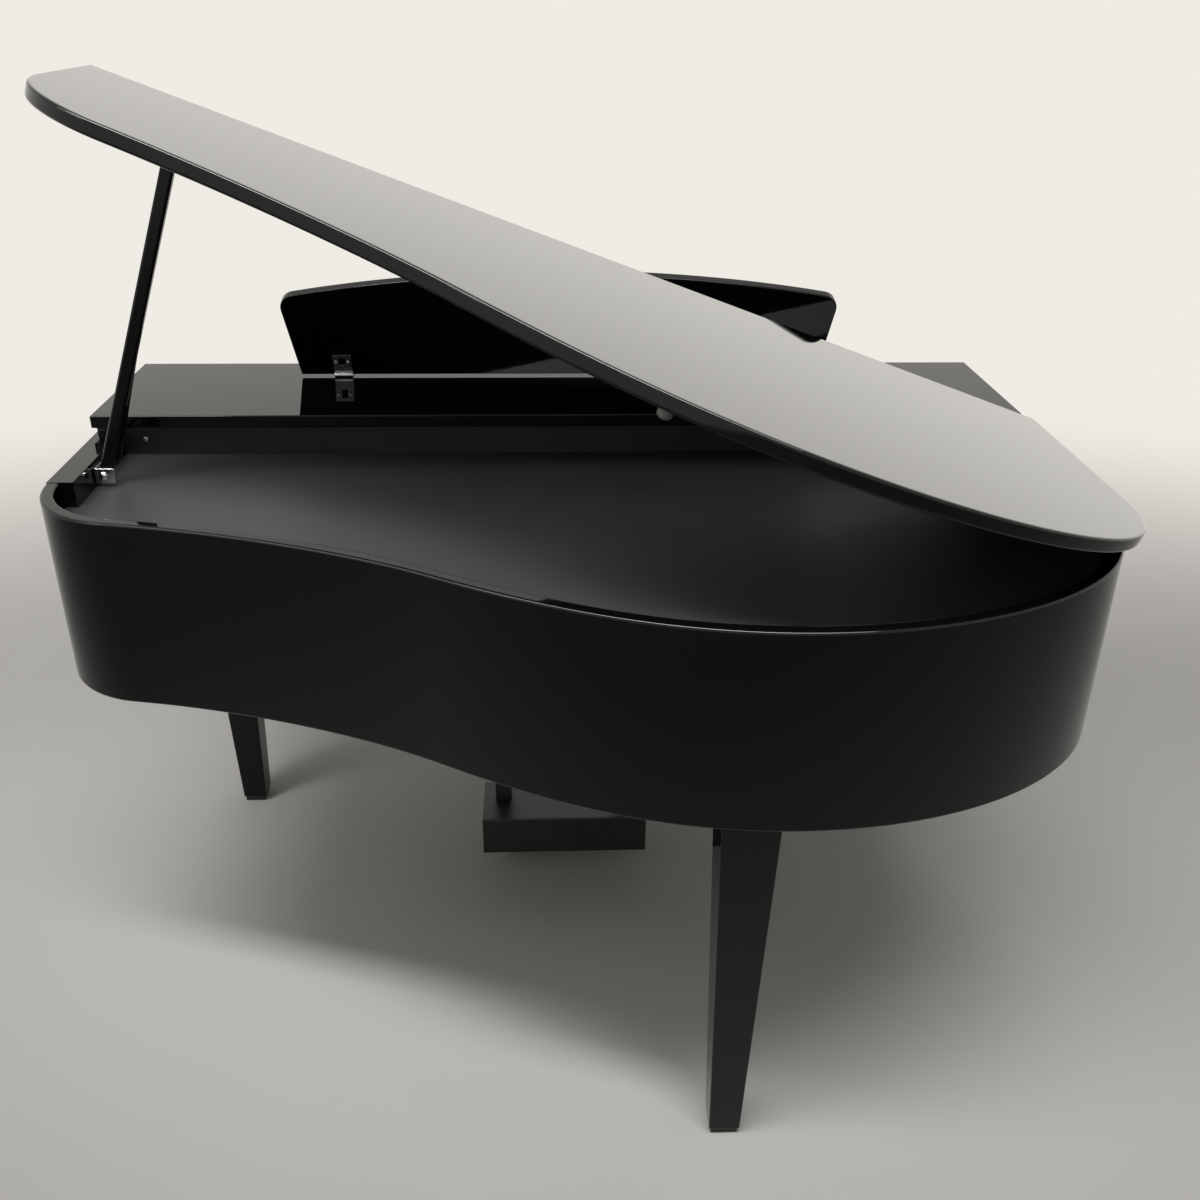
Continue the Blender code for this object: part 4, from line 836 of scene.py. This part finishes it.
cover_low, cover_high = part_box("key_cover")
cover_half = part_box("treble_arm")[0].x - COVER_SIDE_GAP
cover_outline = [
    (0.0, -APRON_DROP), (APRON_THICK, -APRON_DROP), (APRON_THICK, -COVER_THICK),
    (COVER_LENGTH, -COVER_THICK), (COVER_LENGTH, 0.0), (0.0, 0.0),
]
cover = prism("polished_key_cover", cover_outline, -cover_half, cover_half, polyester, "YZ")
runner_shape = bmesh.new()
for inner, outer in ((cover_half, cover_high.x), (cover_low.x, -cover_half)):
    block(runner_shape, (inner, SEAT_GAP, -COVER_THICK), (outer, RUNNER_LENGTH, 0.0))
runners = finish_shape("key_cover_runners", runner_shape, moulded_plastic)
slide_place = Vector((0.0, panel_low.y + COVER_SETBACK, panel_low.z - COVER_UNDER_PANEL))
for piece in (cover, runners):
    piece.data.transform(Matrix.Translation(slide_place) @ Matrix.Rotation(COVER_SLOPE, 4, "X"))
    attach(piece, "cover_body")
soften(cover, COVER_EDGE)
soften(runners, COVER_EDGE / 2, 2)
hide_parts("key_cover")

# The music desk, a polished board with an arched top, and the ledge glued across its front. Two steel
# hinges are screwed to the desk's back and to the top panel, and they let it fold flat.
DESK_LEAN = math.radians(20)
DESK_BACK = -0.0038
DESK_THICK = 0.015
DESK_FOOT = 0.0025
DESK_BOTTOM_HALF = 0.430
DESK_TOP_HALF = 0.447
DESK_SIDE_HEIGHT = 0.1445
DESK_MIDDLE_HEIGHT = 0.1865
DESK_CORNER_ROUND = 0.026
DESK_EDGE = 0.0022
ARCH_STEPS = 48
ARCH_TRIM = 3
LEDGE_HALF = 0.400
LEDGE_DEPTH = 0.025
LEDGE_THICK = 0.010
DESK_HINGE_X = 0.360
PANEL_SCREWS = ((-0.0085, -0.0245), (0.0085, -0.0245))
DESK_SCREWS = ((-0.0100, 0.0240), (0.0100, 0.0240))
HINGE_LEAF_FACE = -0.0018
HINGE_SCREW_RADIUS = 0.0029


def rounded(corners, steps=10):
    """An outline whose corners are given as (x, y, radius)."""
    outline = []
    for place, (x, y, radius) in enumerate(corners):
        here = Vector((x, y))
        if radius <= 0:
            outline.append((x, y))
            continue
        before = (Vector(corners[place - 1][:2]) - here).normalized()
        after = (Vector(corners[(place + 1) % len(corners)][:2]) - here).normalized()
        half_angle = before.angle(after) / 2
        middle = here + (before + after).normalized() * radius / math.sin(half_angle)
        first = here + before * radius / math.tan(half_angle) - middle
        last = here + after * radius / math.tan(half_angle) - middle
        begin = math.degrees(math.atan2(first.y, first.x))
        outline += arc(middle, radius, begin, begin - math.degrees(first.angle_signed(last)), steps)
    return outline


def joint_place(name, lean=0.0, axis="Y"):
    """Where a joint's axis passes, turned by the lean of the piece that hangs on it."""
    joint = next(joint for joint in frame["joints"] if joint["name"] == name)
    return Matrix.Translation(joint["pos_m"]) @ Matrix.Rotation(lean, 4, axis)


def hang(piece, place, body, finish, *nodes):
    """A piece drawn in a joint's frame, put in its place, on its body, for its nodes."""
    piece.data.transform(place)
    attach(piece, body)
    if nodes:
        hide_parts(*nodes)


desk_place = joint_place("desk_fold", -DESK_LEAN, "X")
rise = DESK_MIDDLE_HEIGHT - DESK_SIDE_HEIGHT
arch_radius = (DESK_TOP_HALF**2 + rise**2) / (2 * rise)
sweep = math.degrees(math.asin(DESK_TOP_HALF / arch_radius))
arch = arc((0.0, DESK_MIDDLE_HEIGHT - arch_radius), arch_radius, 90 - sweep, 90 + sweep, ARCH_STEPS)
desk_outline = rounded(
    [(-DESK_BOTTOM_HALF, -DESK_FOOT, 0), (DESK_BOTTOM_HALF, -DESK_FOOT, 0)]
    + [(DESK_TOP_HALF, DESK_SIDE_HEIGHT, DESK_CORNER_ROUND)]
    + [(x, z, 0) for x, z in arch[ARCH_TRIM:-ARCH_TRIM]]
    + [(-DESK_TOP_HALF, DESK_SIDE_HEIGHT, DESK_CORNER_ROUND)]
)
desk = prism("polished_music_desk", desk_outline, DESK_BACK - DESK_THICK, DESK_BACK, polyester, "XZ")
soften(desk, DESK_EDGE, 4)
hang(desk, desk_place, "desk_body", "black_polyester", "music_desk")

ledge_shape = bmesh.new()
ledge_back = DESK_BACK - DESK_THICK - SEAT_GAP
block(
    ledge_shape, (-LEDGE_HALF, ledge_back - LEDGE_DEPTH, DESK_FOOT),
    (LEDGE_HALF, ledge_back, DESK_FOOT + LEDGE_THICK),
)
ledge = soften(finish_shape("polished_music_ledge", ledge_shape, polyester), GLOSS_EDGE)
hang(ledge, desk_place, "desk_body", "black_polyester", "music_ledge")

hinge_xs = (-DESK_HINGE_X, DESK_HINGE_X)
panel_spots = [(x + across, back, HINGE_LEAF_FACE) for x in hinge_xs for across, back in PANEL_SCREWS]
panel_screws = screws("desk_hinge_panel_screws", panel_spots, (0, 0, 1), HINGE_SCREW_RADIUS, bright_steel)
hang(panel_screws, joint_place("desk_fold"), "case", "brushed_steel")
desk_spots = [(x + across, HINGE_LEAF_FACE, up) for x in hinge_xs for across, up in DESK_SCREWS]
desk_screws = screws("desk_hinge_desk_screws", desk_spots, (0, 1, 0), HINGE_SCREW_RADIUS, bright_steel)
hang(desk_screws, desk_place, "desk_body", "brushed_steel")
dress(
    bright_steel, "desk_hinge_base_bass", "desk_hinge_base_treble", "desk_hinge_leaf_bass",
    "desk_hinge_leaf_treble",
)

# The lid, one wide board polished on both faces, held along the bass side by a long knuckle hinge.
# Milky rubber bumpers under it meet the rim, and a bent steel cup catches the tip of the prop.
LID_OPEN = math.radians(20)
LID_UNDER = 0.006
LID_THICK = 0.0189
LID_OVERHANG = 0.0038
LID_BASS_EXTRA = 0.008
LID_FRONT_GAP = 0.004
LID_COAT_IOR = 1.6
FACES_UP = 0.5
BUMPER_RADIUS = 0.0085
BUMPER_DOME = 0.0060
SMALL_STEPS = 32
CUP_SCREW_RADIUS = 0.0032
CUP_FACE = 0.0027
CUP_SCREWS = ((-0.0250, -0.0085), (-0.0250, 0.0085))

lid_place = joint_place("lid_hinge", -LID_OPEN)
hinge_x = lid_place.translation.x
lid_outline = [
    (x - hinge_x, y) for x, y in case_line(LID_OVERHANG, panel_high.y + LID_FRONT_GAP, LID_BASS_EXTRA)
]
lid_polish = new_material("lid_polyester", BLACK, 0.03)
set_value(lid_polish, "Coat Weight", 1.0)
set_value(lid_polish, "Coat Roughness", 0.02)
set_value(lid_polish, "Coat IOR", LID_COAT_IOR)
wiping = pattern(lid_polish, 5.0, 4.0)
drive(lid_polish, "Roughness", spread(lid_polish, wiping, 0.02, 0.06))
drive(lid_polish, "Base Color", dusty_black(lid_polish))
relief(lid_polish, pattern(lid_polish, 90.0, 1.0), 0.00001)
lid = prism("polished_lid", lid_outline, LID_UNDER, LID_UNDER + LID_THICK, lid_polish)
lid.data.materials.append(polyester)
for face in lid.data.polygons:
    face.material_index = int(face.normal.z < FACES_UP)
soften(lid, RIM_EDGE, 5)
hang(lid, lid_place, "lid_body", "black_polyester", "lid")

pale_rubber = new_material("pale_rubber", (0.13, 0.13, 0.125), 0.5)
milk = pattern(pale_rubber, 220.0, 3.0)
drive(pale_rubber, "Base Color", two_tones(pale_rubber, milk, (0.11, 0.11, 0.105), (0.15, 0.15, 0.145)))
drive(pale_rubber, "Roughness", spread(pale_rubber, milk, 0.42, 0.6))
set_value(pale_rubber, "Subsurface Weight", 0.3)
set_value(pale_rubber, "Subsurface Radius", (0.003,) * 3)
bumper_top = LID_UNDER - SEAT_GAP
bumper_profile = [(0.0, bumper_top), (BUMPER_RADIUS, bumper_top), (BUMPER_RADIUS, BUMPER_DOME - LID_UNDER)]
bumper_profile += [
    (BUMPER_RADIUS * math.cos(math.radians(turn)), -bumper_top * math.sin(math.radians(turn)))
    for turn in range(10, 91, 10)
]
for side in ("tail", "treble"):
    node = "lid_bumper_" + side
    middle = lid_place.inverted() @ ((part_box(node)[0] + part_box(node)[1]) / 2)
    bumper = lathe(
        "rubber_bumper_" + side, bumper_profile, SMALL_STEPS,
        Matrix.Translation((middle.x, middle.y, 0.0)), (pale_rubber,),
    )
    hang(bumper, lid_place, "lid_body", "pale_rubber", node)

prop_y = joint_place("prop_fold").translation.y
catch = lid_place.inverted() @ ((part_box("prop_cup")[0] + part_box("prop_cup")[1]) / 2)
cup_spots = [(catch.x + along, prop_y + across, CUP_FACE) for along, across in CUP_SCREWS]
cup_screws = screws("prop_cup_screws", cup_spots, (0, 0, -1), CUP_SCREW_RADIUS, bright_steel)
hang(cup_screws, lid_place, "lid_body", "brushed_steel")
dress(bright_steel, "prop_cup", "lid_hinge_lower_leaf", "lid_hinge_upper_leaf")

# The props and their bracket: a long square stick with rounded edges, painted satin black, on a pin in a
# chromed angle bracket, and a slim short prop pegged to its side for holding the lid lower.
PROP_HALF = 0.009
PROP_DEEP = 0.007
PROP_TIP_ROUND = 0.004
FULL_ROUND = 0.98
PROP_EDGE = 0.0060
PROP_SPACE = 0.0036
PROP_IOR = 1.3
SHORT_SPLAY = math.radians(2.4)
SHORT_HALF = 0.005
SHORT_LENGTH = 0.206
SHORT_THICK = 0.008
SHORT_EDGE = 0.0022
BRACKET_THICK = 0.003
BRACKET_BEND = 0.0027
BRACKET_EDGE = 0.0007
BRACKET_SCREW_RADIUS = 0.0034
BRACKET_SCREWS = (0.012, 0.030)
PIN_HEAD_RADIUS = 0.0065
PIN_HEAD_HEIGHT = 0.0040

prop_paint = satin("prop_paint", 0.003, 0.14)
set_value(prop_paint, "IOR", PROP_IOR)
prop_place = joint_place("prop_fold", -LID_OPEN)
below = -(lid_place.inverted() @ prop_place.translation).z
prop_length = below + LID_UNDER - PROP_SPACE
prop_outline = rounded([
    (PROP_HALF, -PROP_HALF, PROP_HALF * FULL_ROUND),
    (PROP_HALF, prop_length, PROP_TIP_ROUND),
    (-PROP_HALF, prop_length, PROP_TIP_ROUND),
    (-PROP_HALF, -PROP_HALF, PROP_HALF * FULL_ROUND),
])
prop = prism("rounded_long_prop", prop_outline, -PROP_DEEP, PROP_DEEP, prop_paint, "XZ")
soften(prop, PROP_EDGE, 5)
hang(prop, prop_place, "prop_body", "satin_black", "prop_long")

short_outline = rounded([
    (SHORT_HALF, SHORT_HALF, SHORT_HALF * FULL_ROUND),
    (-SHORT_HALF, SHORT_HALF, SHORT_HALF * FULL_ROUND),
    (-SHORT_HALF, 2 * SHORT_HALF - SHORT_LENGTH, 0),
    (0.0, -SHORT_LENGTH, 0),
    (SHORT_HALF, 2 * SHORT_HALF - SHORT_LENGTH, 0),
])
short_front = -PROP_DEEP - SEAT_GAP
short = prism(
    "rounded_short_prop", short_outline, short_front - SHORT_THICK, short_front, prop_paint, "XZ"
)
soften(short, SHORT_EDGE, 4)
short_place = joint_place("short_prop_swing", SHORT_SPLAY - LID_OPEN)
hang(short, short_place, "short_prop_body", "satin_black", "prop_short")

chrome = new_material("chrome", (0.76, 0.76, 0.77), 0.1, 1.0)
plating = pattern(chrome, 45.0, 4.0)
drive(chrome, "Roughness", spread(chrome, plating, 0.06, 0.16))
drive(chrome, "Base Color", two_tones(chrome, plating, (0.72, 0.72, 0.73), (0.80, 0.80, 0.81)))
relief(chrome, pattern(chrome, 400.0), 0.00001)

low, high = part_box("prop_bracket")
flange = high.y - BRACKET_THICK
angle_outline = rounded([
    (high.x, high.y, BRACKET_BEND),
    (low.x, high.y, 0),
    (low.x, flange, 0),
    (high.x - BRACKET_THICK, flange, 0),
    (high.x - BRACKET_THICK, low.y, 0),
    (high.x, low.y, 0),
], 4)
bracket = prism("chromed_bracket", angle_outline, low.z, high.z, chrome)
soften(bracket, BRACKET_EDGE, 2)
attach(bracket, "case")
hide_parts("prop_bracket")
plate_spots = [(high.x - BRACKET_THICK, low.y + along, (low.z + high.z) / 2) for along in BRACKET_SCREWS]
bracket_screws = screws("bracket_screws", plate_spots, (-1, 0, 0), BRACKET_SCREW_RADIUS, zinc)
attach(bracket_screws, "case")

_, pin_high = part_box("prop_pin")
head_base = pin_high.y - PIN_HEAD_HEIGHT - prop_y
pin_profile = [(0.0, head_base), (PIN_HEAD_RADIUS, head_base)]
pin_profile += [
    (
        PIN_HEAD_RADIUS * math.cos(math.radians(turn)),
        head_base + PIN_HEAD_HEIGHT * math.sin(math.radians(turn)),
    )
    for turn in range(10, 91, 10)
]
pin = lathe(
    "domed_prop_pin", pin_profile, SMALL_STEPS,
    Matrix.Translation(prop_place.translation) @ Matrix.Rotation(-math.pi / 2, 4, "X"), (chrome,),
)
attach(pin, "case")
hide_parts("prop_pin")
